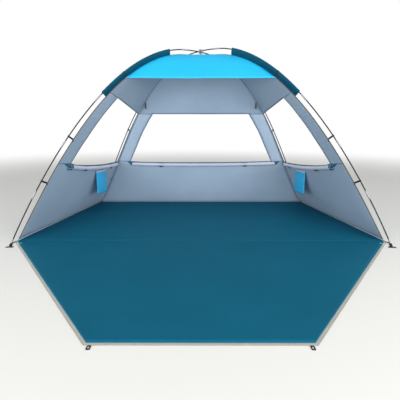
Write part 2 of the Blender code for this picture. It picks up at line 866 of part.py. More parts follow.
def row_place(sheet, row, share):
    """A point at a share of a row's length, and the row's direction there."""
    points = sheet[row]
    lengths = [0.0]
    for first, second in zip(points, points[1:]):
        lengths.append(lengths[-1] + (second - first).length)
    target = share * lengths[-1]
    for index in range(len(points) - 1):
        if target <= lengths[index + 1] or index == len(points) - 2:
            part = (target - lengths[index]) / (lengths[index + 1] - lengths[index])
            direction = (points[index + 1] - points[index]).normalized()
            return points[index].lerp(points[index + 1], part), direction
    return points[-1], (points[-1] - points[-2]).normalized()


def wall_centre(sheet, share, ends, sag, hangs):
    """Centre of a rolled flap that lies against the inside of a wall, under the sill."""
    along = ends[0] + (ends[1] - ends[0]) * share
    low, _ = row_place(sheet, sill_row - 1, along)
    place, direction = row_place(sheet, sill_row, along)
    inward = Vector((-direction.y, direction.x, 0.0)).normalized()
    if inward.dot(-place) < 0:
        inward.negate()
    normal = direction.cross(place - low).normalized()
    if normal.dot(inward) < 0:
        normal.negate()
    hang = hangs[0] + (hangs[1] - hangs[0]) * share
    drop = roll_radius + hang + sag * 4.0 * share * (1.0 - share)
    distance = roll_radius + fabric_thickness / 2 + roll_wall_gap
    reach = (distance + drop * normal.z) / normal.dot(inward)
    return place + inward * reach - Vector((0.0, 0.0, drop))


def add_roll(name, centre_at, toggle_shares):
    """A window flap rolled down to the sill: a soft, slightly sagging roll of cloth,
    drawn in where a toggle's cord goes round it."""
    length = (centre_at(1.0) - centre_at(0.0)).length
    flat = roll_pinch_half_length / length
    slope = roll_pinch_slope / length
    shares = {step / roll_ring_count for step in range(roll_ring_count + 1)}
    shares = {share for share in shares
              if all(abs(share - place) > flat + slope for place in toggle_shares)}
    radii = {share: roll_radius for share in shares}
    for place in toggle_shares:
        for step in (-1, 1):
            radii[place + step * flat] = roll_radius * (1.0 - roll_pinch_share)
            radii[place + step * (flat + slope)] = roll_radius
    stops = sorted(share for share in radii if 0.0 <= share <= 1.0)
    points = [centre_at(share) for share in stops]
    resolution = (roll_sides - 4) // 2
    round_rod(name, points, [radii[share] for share in stops], resolution, flap_silver)


def add_toggle(name, centre_at, share):
    """A barrel toggle under a rolled flap. It turns on the cord that it hangs from."""
    step_share = 0.01
    along = (centre_at(share + step_share) - centre_at(share - step_share)).normalized()
    sideways = along.cross(Vector((0.0, 0.0, 1.0))).normalized()
    above = sideways.cross(along)
    pinched = roll_radius * (1.0 - roll_pinch_share) * math.cos(math.pi / roll_sides)
    barrel = toggle_radius * math.cos(math.pi / toggle_sides)
    place = centre_at(share) - above * (pinched + toggle_drop + barrel)
    radii = (toggle_radius * toggle_end_radius_share, toggle_radius, toggle_radius,
             toggle_waist_radius)
    heights = [share * toggle_length / 2 for share in toggle_profile_shares]
    upper = [(0.0, toggle_length / 2)] + list(zip(radii, heights))
    profile = upper + [(radius, -height) for radius, height in reversed(upper)]
    item = add_object(name, turned_mesh(name, profile, toggle_sides), clip_black)
    frame = Matrix((sideways, above, along)).transposed()
    item.matrix_world = Matrix.Translation(place) @ frame.to_4x4()
    item.data.shade_smooth()
    hang_on(item, add_axis_empty(f"{name}_axis", place, above))


def add_rolls():
    """The three rolled flaps and the toggles under them."""
    side = (side_roll_shares, side_roll_sag, side_roll_hangs)
    back = (back_roll_shares, back_roll_sag, back_roll_hangs)
    flaps = (("left", side, left_toggle_shares), ("right", side, right_toggle_shares),
             ("back", back, back_toggle_shares))
    for wall, (ends, sag, hangs), toggles in flaps:
        def centre_at(share):
            """Centre of this wall's roll."""
            return wall_centre(sheets[wall], share, ends, sag, hangs)

        add_roll(f"{wall}_rolled_flap", centre_at, toggles)
        for number, share in enumerate(toggles, 1):
            add_toggle(f"{wall}_toggle_{number}", centre_at, share)


def add_pocket(side_name):
    """An open pouch that hangs plumb from the side wall, under the rolled flap."""
    sheet = sheets[side_name]
    top = []
    for share in pocket_shares:
        low, _ = row_place(sheet, sill_row - 1, share)
        high, direction = row_place(sheet, sill_row, share)
        place = low.lerp(high, (pocket_top - low.z) / (high.z - low.z))
        inward = Vector((-direction.y, direction.x, 0.0)).normalized()
        if inward.dot(-place) < 0:
            inward.negate()
        top.append(place + inward * pocket_hang)
    along = (top[1] - top[0]).normalized()
    down = Vector((0.0, 0.0, -pocket_height))
    rows = [[top[0], top[1], top[1] + inward * pocket_mouth_depth,
             top[0] + inward * pocket_mouth_depth]]
    wider = top[1] + down + along * pocket_flare
    rows.append([top[0] + down, wider, wider + inward * pocket_foot_depth,
                 top[0] + down + inward * pocket_foot_depth])
    shape = bmesh.new()
    bmesh.ops.create_cube(shape, size=2.0)
    for vertex in shape.verts:
        row = 0 if vertex.co.z > 0 else 1
        if vertex.co.y < 0:
            column = 0 if vertex.co.x < 0 else 1
        else:
            column = 3 if vertex.co.x < 0 else 2
        vertex.tag = vertex.co.z > 0
        vertex.co = rows[row][column]
    mouth = [face for face in shape.faces if all(vertex.tag for vertex in face.verts)]
    bmesh.ops.delete(shape, geom=mouth, context="FACES_ONLY")
    bmesh.ops.recalc_face_normals(shape, faces=shape.faces)
    name = f"{side_name}_hanging_pocket"
    hinge = add_axis_empty(f"{side_name}_pocket_axis", (top[0] + top[1]) / 2, along)
    item = add_object(name, mesh_from_bmesh(name, shape), pocket_blue)
    wall = item.modifiers.new("wall", "SOLIDIFY")
    wall.thickness = pocket_wall
    wall.offset = 0.0
    wall.use_even_offset = True
    hang_on(item, hinge)


def add_hook(side_name, side):
    """A webbing loop that hangs from a roof seam, for a lamp or a line."""
    seam = seam_point(hook_row_share, -side)
    top = seam + Vector((side * hook_side_inset, -hook_wall_inset, -hook_drop))
    radius = hook_width / 2
    outer = rounded_outline([(-radius, 0.0), (radius, 0.0), (radius, -hook_length),
                             (-radius, -hook_length)], radius * hook_corner_share, 5)
    inner_radius = radius - hook_strap
    foot = hook_strap - hook_length
    corners = [(-inner_radius, -hook_strap), (inner_radius, -hook_strap),
               (inner_radius, foot), (-inner_radius, foot)]
    inner = rounded_outline(corners, inner_radius * hook_corner_share, 5)
    hinge = add_axis_empty(f"{side_name}_hook_axis", top, (1.0, 0.0, 0.0))
    item = flat_plate(f"{side_name}_hanging_loop", outer, hook_depth, webbing_black,
                      holes=(inner,))
    turn = Matrix.Rotation(math.pi / 2, 4, "Z") @ Matrix.Rotation(math.pi / 2, 4, "X")
    item.matrix_world = Matrix.Translation(top) @ turn
    hang_on(item, hinge)


def add_apex_tie():
    """The strap that ties the crossing of the poles down to the roof's peak."""
    crossing_share = 2.0 * (front_half_width + pole_front_spread) / (
        front_half_width + pole_front_spread + back_half_width + pole_back_spread) - 1.0
    low_pole = pole_point(crossing_share, 1)
    high_pole = pole_point(crossing_share, -1)
    top = high_pole.z + rod_radius + tie_clearance
    front_edge = low_pole.y - tie_half_gap - tie_strap
    front_share = 2.0 * (front_edge - feet_y) / cabin_depth - 1.0
    bottom = seam_point(front_share, 1).z + fabric_thickness / 2 + seat_gap
    outer = [(-tie_half_gap - tie_strap, bottom), (tie_half_gap + tie_strap, bottom),
             (tie_half_gap + tie_strap, top + tie_strap), (-tie_half_gap - tie_strap, top + tie_strap)]
    inner = [(-tie_half_gap, bottom + tie_strap), (tie_half_gap, bottom + tie_strap),
             (tie_half_gap, top), (-tie_half_gap, top)]
    item = flat_plate("apex_tie", rounded_outline(outer, tie_corner + tie_strap),
                      tie_width, webbing_black, holes=(rounded_outline(inner, tie_corner),))
    turn = Matrix(((0.0, 0.0, 1.0), (1.0, 0.0, 0.0), (0.0, 1.0, 0.0))).to_4x4()
    item.matrix_world = Matrix.Translation((0.0, low_pole.y, 0.0)) @ turn


clear_scene()
tent_collection = bpy.data.collections.new("beach_tent")
cutter_collection = bpy.data.collections.new("cutters")
bpy.context.scene.collection.children.link(tent_collection)
bpy.context.scene.collection.children.link(cutter_collection)

floor_teal = make_material("floor_teal", srgb(17, 92, 120), 0.7, 0.0)
cabin_grey = make_material("cabin_grey", srgb(140, 160, 180), 0.6, 0.0)
visor_blue = make_material("visor_blue", srgb(40, 196, 248), 0.6, 0.0)
sleeve_teal = make_material("sleeve_teal", srgb(0, 85, 125), 0.7, 0.0)
pocket_blue = make_material("pocket_blue", srgb(35, 160, 215), 0.7, 0.0)
flap_silver = make_material("flap_silver", srgb(190, 195, 215), 0.5, 0.0)
tape_silver = make_material("tape_silver", srgb(165, 172, 168), 0.6, 0.0)
pole_black = make_material("pole_black", srgb(28, 29, 32), 0.4, 0.0)
clip_black = make_material("clip_black", srgb(24, 24, 26), 0.45, 0.0)
webbing_black = make_material("webbing_black", srgb(26, 26, 28), 0.8, 0.0)
zip_aqua = make_material("zip_aqua", srgb(150, 215, 215), 0.4, 0.0)

sheets = {}
axis_places = {}
add_floor()
porch_hinge = add_axis_empty("porch_fold_axis", (0.0, feet_y, floor_thickness),
                             (-1.0, 0.0, 0.0))
add_porch(porch_hinge)
for wing_name, wing in (("left", -1), ("right", 1)):
    add_slider(wing_name, wing, porch_hinge)
    add_peg_loop(wing_name, wing, porch_hinge)
add_panels()
for wing_name, wing in (("left", 1), ("right", -1)):
    add_pole(wing_name, wing)
    add_sleeve(f"{wing_name}_front_sleeve", front_sleeve_rows, front_row_shares, wing,
               front_sleeve_inner_gap)
    add_sleeve(f"{wing_name}_back_sleeve", back_sleeve_rows, back_row_shares, -wing,
               back_sleeve_inner_gap)
    add_sleeve_strap(f"{wing_name}_sleeve_strap", wing)
    for clip_number, clip_row in enumerate(front_clip_rows, 1):
        add_clip(f"{wing_name}_front_clip_{clip_number}", front_row_shares[clip_row], wing)
    for clip_number, clip_row in enumerate(back_clip_rows, 1):
        add_clip(f"{wing_name}_back_clip_{clip_number}", back_row_shares[clip_row], -wing)
    add_hook(wing_name, wing)
    add_pocket(wing_name)
add_foot_straps()
add_rolls()
add_apex_tie()
bpy.context.view_layer.update()
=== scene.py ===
"""The looks of a beach tent: two crossed poles carry a cabin with three windows, and its
door lies in front of it as a porch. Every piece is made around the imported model."""

import math

import bmesh
import bpy
import numpy as np
from mathutils import Matrix, Vector, noise


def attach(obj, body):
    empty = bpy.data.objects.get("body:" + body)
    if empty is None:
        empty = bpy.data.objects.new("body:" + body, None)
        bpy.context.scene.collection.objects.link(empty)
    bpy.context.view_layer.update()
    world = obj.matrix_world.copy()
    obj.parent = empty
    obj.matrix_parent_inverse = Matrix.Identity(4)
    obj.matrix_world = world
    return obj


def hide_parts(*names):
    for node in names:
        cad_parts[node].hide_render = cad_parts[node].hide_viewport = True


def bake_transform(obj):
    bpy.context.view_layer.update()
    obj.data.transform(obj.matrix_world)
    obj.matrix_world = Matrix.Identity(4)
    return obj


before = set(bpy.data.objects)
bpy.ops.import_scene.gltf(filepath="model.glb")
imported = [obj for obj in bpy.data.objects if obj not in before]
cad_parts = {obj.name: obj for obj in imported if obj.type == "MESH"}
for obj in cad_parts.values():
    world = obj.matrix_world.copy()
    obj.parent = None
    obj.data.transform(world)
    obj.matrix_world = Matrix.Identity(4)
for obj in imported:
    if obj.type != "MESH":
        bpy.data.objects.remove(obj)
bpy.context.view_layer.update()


# Studio. A pale floor that fades into a white surround, low wide lamps in front that reach
# under the roof, a soft one above, and the camera at the photograph's height and tilt.
def node(material, kind, values=None, **settings):
    """A new node. A value that is a socket is linked, any other is set."""
    made = material.node_tree.nodes.new("ShaderNode" + kind)
    for key, value in settings.items():
        setattr(made, key, value)
    for key, value in (values or {}).items():
        if isinstance(value, bpy.types.NodeSocket):
            material.node_tree.links.new(value, made.inputs[key])
        else:
            made.inputs[key].default_value = value
    return made


def maths(material, operation, first, second=0.0):
    """The result of one sum on two sockets or numbers."""
    made = node(material, "Math", {0: first, 1: second}, operation=operation)
    return made.outputs[0]


def tint(red, green, blue):
    """A screen colour from 0 to 255 as a shader's colour."""
    linear = [((part / 255 + 0.055) / 1.055) ** 2.4 if part > 10 else part / 255 / 12.92
              for part in (red, green, blue)]
    return (*linear, 1.0)


def seen_directly(material):
    """1 for the rays that see the surround itself: straight on, mirrored or through."""
    paths = node(material, "LightPath").outputs
    seen = maths(material, "ADD", paths["Is Camera Ray"], paths["Is Glossy Ray"])
    seen = maths(material, "ADD", seen, paths["Is Transmission Ray"])
    return maths(material, "MINIMUM", seen, 1.0)


floor_half = 30.0
floor_drop = 0.0006
floor_pale = tint(226, 226, 222)
pure_white = (1.0, 1.0, 1.0, 1.0)
fade_start = 3.4
fade_end = 8.5
bpy.ops.object.select_all(action="DESELECT")
bpy.ops.mesh.primitive_plane_add(size=2 * floor_half, location=(0.0, 0.0, -floor_drop))
studio_floor = bpy.context.object
studio_floor.name = "studio_floor"
paper = bpy.data.materials.new("studio_paper")
paper.use_nodes = True
paper_shader = paper.node_tree.nodes["Principled BSDF"]
paper_shader.inputs["Base Color"].default_value = floor_pale
paper_shader.inputs["Roughness"].default_value = 0.9
paper_place = node(paper, "TexCoord").outputs["Object"]
paper_reach = node(paper, "VectorMath", {0: paper_place}, operation="LENGTH").outputs["Value"]
paper_fade = node(paper, "MapRange", {"Value": paper_reach, "From Min": fade_start,
                                      "From Max": fade_end}, interpolation_type="SMOOTHSTEP")
paper_white = node(paper, "Emission", {"Color": pure_white, "Strength": 1.0})
paper_share = maths(paper, "MULTIPLY", paper_fade.outputs[0], seen_directly(paper))
paper_mix = node(paper, "MixShader", {0: paper_share, 1: paper_shader.outputs[0],
                                      2: paper_white.outputs[0]})
paper.node_tree.links.new(paper_mix.outputs[0], paper.node_tree.nodes["Material Output"].inputs[0])
studio_floor.data.materials.append(paper)

world = bpy.data.worlds.new("studio_surround")
bpy.context.scene.world = world
world.use_nodes = True
world_light = 0.54
world_colour = (0.99, 1.0, 1.0, 1.0)
surround = world.node_tree.nodes["Background"]
surround.inputs["Color"].default_value = world_colour
surround.inputs["Strength"].default_value = world_light
white = node(world, "Background", {"Color": pure_white, "Strength": 1.0})
world_mix = node(world, "MixShader", {0: seen_directly(world), 1: surround.outputs[0],
                                      2: white.outputs[0]})
world.node_tree.links.new(world_mix.outputs[0], world.node_tree.nodes["World Output"].inputs[0])

# Each lamp's place, what it aims at, its width and height in metres, and its watts.
lamps = {"left_lamp": ((-3.4, -4.4, 1.25), (1.0, 0.1, 0.5), (4.2, 2.3), 168.0),
         "right_lamp": ((3.4, -4.4, 1.25), (-1.0, 0.1, 0.5), (4.2, 2.3), 212.0),
         "front_lamp": ((0.0, -4.4, 0.3), (0.0, 0.1, 1.3), (3.0, 0.8), 20.0),
         "top_lamp": ((0.4, -1.6, 6.0), (0.0, -0.5, 0.0), (4.0, 4.0), 60.0)}
for lamp_name, (place, aim, (width, height), power) in lamps.items():
    bpy.ops.object.light_add(type="AREA", location=place)
    lamp = bpy.context.object
    lamp.name = lamp_name
    lamp.data.shape = "RECTANGLE"
    lamp.data.size = width
    lamp.data.size_y = height
    lamp.data.energy = power
    lamp.rotation_euler = (Vector(aim) - lamp.location).to_track_quat("-Z", "Y").to_euler()

camera_height = 0.9345
camera_back = 3.266
camera_pitch = math.radians(13.055)
camera_turn = math.radians(0.116)
camera_lens = 31.05
camera_film = 36.0
bpy.ops.object.camera_add(location=(0.0, -camera_back, camera_height),
                          rotation=(math.pi / 2 - camera_pitch, 0.0, camera_turn))
camera = bpy.context.object
camera.data.lens = camera_lens
camera.data.sensor_width = camera_film
bpy.context.scene.camera = camera
bpy.context.scene.view_settings.view_transform = "Standard"


# Poles. Each is ten rods of black fibreglass on a shock cord, with a steel ferrule crimped
# on the upper end of every rod but the last, and a steel tip at each foot.
cabin_depth = 1.35
front_half_width = 1.452
back_half_width = 1.174
feet_y = -cabin_depth / 2
back_y = cabin_depth / 2
fabric_rise = 1.50
pole_rise = 1.542
front_foot_offset = (0.020, 0.055)
back_foot_offset = (0.026, 0.043)
pole_feet = (Vector((-front_half_width - front_foot_offset[0], feet_y - front_foot_offset[1])),
             Vector((back_half_width + back_foot_offset[0], back_y + back_foot_offset[1])))
pole_bows = (1.90, 2.40)
pole_crown = 0.98
pole_ease = (0.45, 3.6)
rod_radius = 0.0046
ferrule_radius = 0.0060
ferrule_length = 0.070
socket_depth = 0.030
socket_gap = 0.002
clearance = 0.0003
tip_lift = 0.002
tip_radius = 0.0024
tip_length = 0.012
section_count = 10
middle_sections = range(4, 8)
end_shortfall = 0.040
rod_sides = 14
rod_step = 0.022
rod_bevel = 0.0006
path_steps = 800


def arch_point(feet, rise, bows, crown, ease, share, side):
    """A point of a bent arch, from its front foot at share -1 to its back foot at 1. ease
    draws the back leg in, so that it runs nearly straight to its foot."""
    plan = feet[0].lerp(feet[1], (share + 1.0) / 2.0)
    bow = bows[0] if share < 0 else bows[1]
    height = rise * max(0.0, 1.0 - abs(share) ** bow) ** crown
    if share > 0:
        height *= 1.0 - ease[0] * share ** ease[1]
    return Vector((side * plan.x, plan.y, height))


def pole_point(share, side):
    """A point of a pole's centre line. The right pole passes over the left one."""
    rise = pole_rise - side * (rod_radius + clearance)
    return arch_point(pole_feet, rise, pole_bows, pole_crown, pole_ease, share, side)


def pick(*items):
    """Select these pieces alone, the first of them as the active one."""
    bpy.ops.object.select_all(action="DESELECT")
    for item in items:
        item.select_set(True)
    bpy.context.view_layer.objects.active = items[0]


def apply_all(item):
    """Apply the piece's modifiers, in order."""
    pick(item)
    for modifier in list(item.modifiers):
        bpy.ops.object.modifier_apply(modifier=modifier.name)


def dress(item, name, material, body, *nodes):
    """Finish a piece: apply its modifiers, name it, give it its material, and hang it on
    its body. A piece of cloth whose two faces differ has its materials already."""
    apply_all(item)
    item.name = name
    item.data.name = name
    if material:
        item.data.materials.clear()
        item.data.materials.append(material)
    if body:
        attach(item, body)
    if nodes:
        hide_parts(*nodes)


def pole_path(side):
    """A curve along a pole, and its length."""
    points = [pole_point(share, side) for share in np.linspace(-1.0, 1.0, path_steps + 1)]
    data = bpy.data.curves.new("pole_path", "CURVE")
    data.dimensions = "3D"
    spline = data.splines.new("POLY")
    spline.points.add(len(points) - 1)
    spline.points.foreach_set("co", [part for point in points for part in (*point, 1.0)])
    path = bpy.data.objects.new("pole_path", data)
    bpy.context.scene.collection.objects.link(path)
    return path, sum((b - a).length for a, b in zip(points, points[1:]))


def turned_on_pole(path, profile, sides):
    """A round piece turned from (length along the pole, radius) stops, bent on the pole."""
    bpy.ops.object.select_all(action="DESELECT")
    low = profile[0][0]
    high = profile[-1][0]
    middle = ((low + high) / 2, 0.0, 0.0)
    bpy.ops.mesh.primitive_cylinder_add(vertices=sides, radius=1.0, depth=high - low,
                                        location=middle, rotation=(0.0, math.pi / 2, 0.0))
    item = bpy.context.object
    bpy.ops.object.transform_apply()
    bpy.ops.object.mode_set(mode="EDIT")
    for stop, _ in profile[1:-1]:
        bpy.ops.mesh.select_all(action="SELECT")
        bpy.ops.mesh.bisect(plane_co=(stop, 0.0, 0.0), plane_no=(1.0, 0.0, 0.0))
    bpy.ops.object.mode_set(mode="OBJECT")
    stops = np.array([stop for stop, _ in profile])
    for vertex in item.data.vertices:
        radius = profile[int(np.abs(stops - vertex.co.x).argmin())][1]
        vertex.co.y *= radius
        vertex.co.z *= radius
    bend = item.modifiers.new("bend", "CURVE")
    bend.object = path
    apply_all(item)
    bpy.ops.object.shade_smooth_by_angle(angle=math.radians(40))
    return item


def plain_material(name, colour, roughness, metallic=0.0, grain=0.0, grain_scale=300.0,
                   mottle=0.08, mottle_scale=30.0):
    """A hard material: mottled colour, uneven gloss and a fine grain in its surface."""
    material = bpy.data.materials.new(name)
    material.use_nodes = True
    shader = material.node_tree.nodes["Principled BSDF"]
    shader.inputs["Metallic"].default_value = metallic
    place = node(material, "TexCoord").outputs["Object"]
    cloud = node(material, "TexNoise", {"Vector": place, "Scale": mottle_scale, "Detail": 4.0})
    share = node(material, "MapRange", {"Value": cloud.outputs[0], "To Min": 1.0 - mottle,
                                        "To Max": 1.0 + mottle})
    shade = node(material, "VectorMath", {0: colour[:3], "Scale": share.outputs[0]},
                 operation="SCALE")
    gloss = node(material, "MapRange", {"Value": cloud.outputs[0], "To Min": roughness - 0.08,
                                        "To Max": roughness + 0.08})
    links = material.node_tree.links
    links.new(shade.outputs[0], shader.inputs["Base Color"])
    links.new(gloss.outputs[0], shader.inputs["Roughness"])
    if grain > 0:
        fine = node(material, "TexNoise", {"Vector": place, "Scale": grain_scale, "Detail": 2.0})
        relief = node(material, "Bump", {"Strength": grain, "Distance": 0.0005,
                                         "Height": fine.outputs[0]})
        links.new(relief.outputs[0], shader.inputs["Normal"])
    return material


def set_glint(material, level):
    """Set how strongly a finish mirrors the lamps."""
    shader = material.node_tree.nodes["Principled BSDF"]
    shader.inputs["Specular IOR Level"].default_value = level


fibreglass_black = plain_material("fibreglass_black", tint(8, 9, 10), 0.45, grain=0.12,
                                  grain_scale=900.0)
set_glint(fibreglass_black, 0.2)
ferrule_steel = plain_material("ferrule_steel", tint(138, 142, 148), 0.42, metallic=0.85,
                               grain=0.08, mottle_scale=80.0)
# The outlines of a ferrule and a tip: the length along the pole and the radius there.
ferrule_crimp = ferrule_radius * 0.93
ferrule_outline = ((0.0, rod_radius * 1.02), (0.0012, ferrule_radius * 0.94),
                   (0.003, ferrule_radius), (0.009, ferrule_radius), (0.0105, ferrule_crimp),
                   (0.013, ferrule_crimp), (0.0145, ferrule_radius), (0.030, ferrule_radius),
                   (0.048, ferrule_radius), (0.066, ferrule_radius),
                   (0.068, ferrule_radius * 1.04), (0.0695, ferrule_radius * 1.02),
                   (ferrule_length, rod_radius * 1.08))
tip_outline = ((0.0, tip_radius * 0.35), (0.0008, tip_radius * 0.85), (0.0018, tip_radius),
               (tip_length - 0.0006, tip_radius), (tip_length, ferrule_radius * 0.9),
               (tip_length + 0.0010, ferrule_radius), (tip_length + 0.020, ferrule_radius),
               (tip_length + 0.022, rod_radius * 1.02))
for side_name, side in (("left", 1), ("right", -1)):
    path, path_length = pole_path(side)
    usable = path_length - 2 * tip_lift
    overlap = socket_depth - clearance
    spare = overlap * (section_count - 1) + 2 * end_shortfall
    rod_length = (usable + spare) / section_count
    pitch = rod_length - overlap
    for number in range(1, section_count + 1):
        low = tip_lift + pitch * (number - 1) - (end_shortfall if number > 1 else 0.0)
        high = tip_lift + pitch * (number - 1) + rod_length - end_shortfall
        if number == section_count:
            high -= end_shortfall
        first = number == 1
        last = number == section_count
        node_name = f"{side_name}_pole_section_{number}"
        if number in middle_sections:
            node_name = f"{side_name}_pole_middle_sections"
        rod_low = low + tip_length if first else low
        rod_high = high - tip_length if last else high - socket_depth - socket_gap
        steps = max(2, round((rod_high - rod_low) / rod_step))
        stops = [(rod_low + (rod_high - rod_low) * step / steps, rod_radius)
                 for step in range(steps + 1)]
        bevel = [(rod_low, rod_radius * 0.85), (rod_low + rod_bevel, rod_radius)]
        rod = turned_on_pole(path, bevel + stops[1:], rod_sides)
        dress(rod, f"{side_name}_rod_{number}", fibreglass_black, "cabin", node_name)
        if not last:
            start = high - ferrule_length
            shape = [(start + at, size) for at, size in ferrule_outline]
            ferrule = turned_on_pole(path, shape, rod_sides)
            dress(ferrule, f"{side_name}_ferrule_{number}", ferrule_steel, "cabin")
        if first or last:
            if last:
                shape = [(high - at, size) for at, size in reversed(tip_outline)]
            else:
                shape = [(low + at, size) for at, size in tip_outline]
            tip = turned_on_pole(path, shape, rod_sides)
            dress(tip, f"{side_name}_tip_{'front' if first else 'back'}", ferrule_steel, "cabin")
    bpy.data.objects.remove(path, do_unlink=True)


# Cabin walls. The two sides and the back are silver-coated polyester, grey inside, with a
# teal face outside and a blue one over the roof. Each has a window cut out between the
# sill seam and the header, and the tension of the poles draws the cloth in a little.
# Where each row of the cloth crosses the arch of the front and of the back seams. Row 3 is
# the sill, row 8 the header, row 10 the visor's hem, and the last lies at the peak.
front_row_shares = (-1.0, -0.915, -0.83, -0.763, -0.68, -0.60, -0.54, -0.49, -0.46,
                    -0.415, -0.37, -0.27, -0.185, -0.10, -0.03, 0.04, 0.10)
back_row_shares = (1.0, 0.94, 0.875, 0.798, 0.74, 0.68, 0.65, 0.622, 0.598,
                   0.56, 0.49, 0.42, 0.34, 0.27, 0.20, 0.15, 0.112)
sill_row = 3
header_row = 8
hem_row = 10
top_row = 16
seam_feet = (Vector((-front_half_width, feet_y)), Vector((back_half_width, back_y)))
seam_bows = (1.95, 2.50)
seam_crown = 1.04
seam_ease = (0.50, 3.8)
seam_gap = 0.0015
floor_top = 0.0031
panel_sag = 0.010
cloth_thickness = 0.0012
slope_reach = 0.3
ripple_height = 0.0045
ripple_size = 0.33
ripple_from_sides = 12.0
ripple_from_floor = 1.5
column_step = 0.01
side_window_posts = (0.162, 0.218)
side_window_bow = 0.007
side_window_end = 0.98
back_window_posts = (0.075, 0.118)
panel_widths = {"left": 1.4, "right": 1.4, "back": 2.6, "visor": 2.6}
walls = {"left": ((front_row_shares, 1), (back_row_shares, -1)),
         "right": ((front_row_shares, -1), (back_row_shares, 1)),
         "back": ((back_row_shares, -1), (back_row_shares, 1)),
         "visor": ((front_row_shares, 1), (front_row_shares, -1))}


def share_at(shares, row):
    """The share of an arch at a fractional row, on a smooth curve through the rows."""
    index = min(int(row), len(shares) - 2)
    part = row - index
    low = shares[index]
    high = shares[index + 1]
    before = shares[index - 1] if index > 0 else 2 * low - high
    after = shares[index + 2] if index + 2 < len(shares) else 2 * high - low
    slope_low = (high - before) / 2
    slope_high = (after - low) / 2
    square = part * part
    cube = square * part
    return (low * (2 * cube - 3 * square + 1) + slope_low * (cube - 2 * square + part)
            + high * (3 * square - 2 * cube) + slope_high * (cube - square))


def seam_arch(share, side):
    """A point of the arch that the panels' seams follow under a pole."""
    return arch_point(seam_feet, fabric_rise, seam_bows, seam_crown, seam_ease, share, side)


def seam_point(shares, side, row):
    """A point of a seam between two panels, at a fractional row."""
    point = seam_arch(share_at(shares, row), side)
    point.z = max(point.z, floor_top)
    return point


def seam_span(wall, row):
    """The two seam points of a wall at a row."""
    return [seam_point(shares, side, row) for shares, side in walls[wall]]


def wall_place(wall, row, column, lift=0.0):
    """A point of a wall's cloth and the direction into the tent there. lift moves it
    off the middle of the cloth, into the tent."""
    first, second = seam_span(wall, row)
    low = seam_span(wall, max(row - slope_reach, 0.0))
    high = seam_span(wall, min(row + slope_reach, top_row))
    across = second - first
    rise = high[0] + high[1] - low[0] - low[1]
    inward = across.cross(rise).normalized()
    if inward.dot(Vector((0.0, 0.0, fabric_rise / 3)) - (first + second) / 2) < 0:
        inward.negate()
    edge = seam_gap / across.length
    held = min(max(column, edge), 1.0 - edge)
    depth = panel_sag * across.length / panel_widths[wall] * min(1.0, row)
    swell = depth * 4.0 * held * (1.0 - held)
    return first + across * held + inward * (swell + lift), inward


def window_columns(wall, row):
    """Column stops of a wall at a row: the strip before its window, the window, the rest."""
    travel = min(max((row - sill_row) / (header_row - sill_row), 0.0), 1.0)
    low, high = back_window_posts if wall == "back" else side_window_posts
    post = low + (high - low) * travel
    if wall == "back":
        return [0.0, post, 1.0 - post, 1.0]
    return [0.0, post + side_window_bow * 4.0 * travel * (1.0 - travel), side_window_end, 1.0]


def column_at(wall, row, stop):
    """The column share at a fractional stop of a wall."""
    stops = window_columns(wall, row)
    index = min(int(stop), len(stops) - 2)
    return stops[index] + (stops[index + 1] - stops[index]) * (stop - index)


def ripple(point):
    """Soft, uneven relief of stretched cloth."""
    return ripple_height * noise.fractal(point / ripple_size, 1.0, 2.0, 3)


def cloth_object(name, rows, thickness, tags=None, closed=False, gone=(), faces=()):
    """A sheet through rows of points, with its own length and width in metres as UV, and
    walls on both sides of it. faces are its materials, the far side's after the near
    side's, and tags gives each row its first one."""
    shape = bmesh.new()
    grid = [[shape.verts.new(point) for point in row] for row in rows]
    layer = shape.loops.layers.uv.new("cloth")
    middle = rows[len(rows) // 2]
    wide = np.cumsum([0.0] + [(b - a).length for a, b in zip(middle, middle[1:])])
    centre = 0 if closed else len(middle) // 2
    tall = np.cumsum([0.0] + [(b[centre] - a[centre]).length for a, b in zip(rows, rows[1:])])
    columns = len(rows[0])
    for r in range(len(rows) - 1):
        for c in range(columns if closed else columns - 1):
            if (r, c) in gone:
                continue
            d = (c + 1) % columns
            face = shape.faces.new((grid[r][c], grid[r][d], grid[r + 1][d], grid[r + 1][c]))
            reach = wide[c] + (wide[1] if closed else wide[c + 1] - wide[c])
            for loop, place in zip(face.loops, ((wide[c], tall[r]), (reach, tall[r]),
                                                (reach, tall[r + 1]), (wide[c], tall[r + 1]))):
                loop[layer].uv = place
            face.material_index = tags[r] if tags else 0
            face.smooth = True
    loose = [vertex for vertex in shape.verts if not vertex.link_faces]
    bmesh.ops.delete(shape, geom=loose, context="VERTS")
    mesh = bpy.data.meshes.new(name)
    for material in faces:
        mesh.materials.append(material)
    shape.to_mesh(mesh)
    shape.free()
    item = bpy.data.objects.new(name, mesh)
    bpy.context.scene.collection.objects.link(item)
    if thickness > 0:
        wall = item.modifiers.new("thickness", "SOLIDIFY")
        wall.thickness = thickness
        wall.offset = 0.0
        wall.material_offset = 1
        wall.material_offset_rim = 0
    return item


def weave_height(material, uv, thread):
    """The height of a plain weave, with its threads along the cloth's own two ways."""
    parts = node(material, "SeparateXYZ", {0: uv}).outputs
    waves = []
    for part in (parts[0], parts[1]):
        turns = maths(material, "MULTIPLY", part, 2.0 * math.pi / thread)
        waves.append(maths(material, "SINE", turns))
    return maths(material, "MULTIPLY", waves[0], waves[1])


slub_stretch = (60.0, 900.0, 1.0)


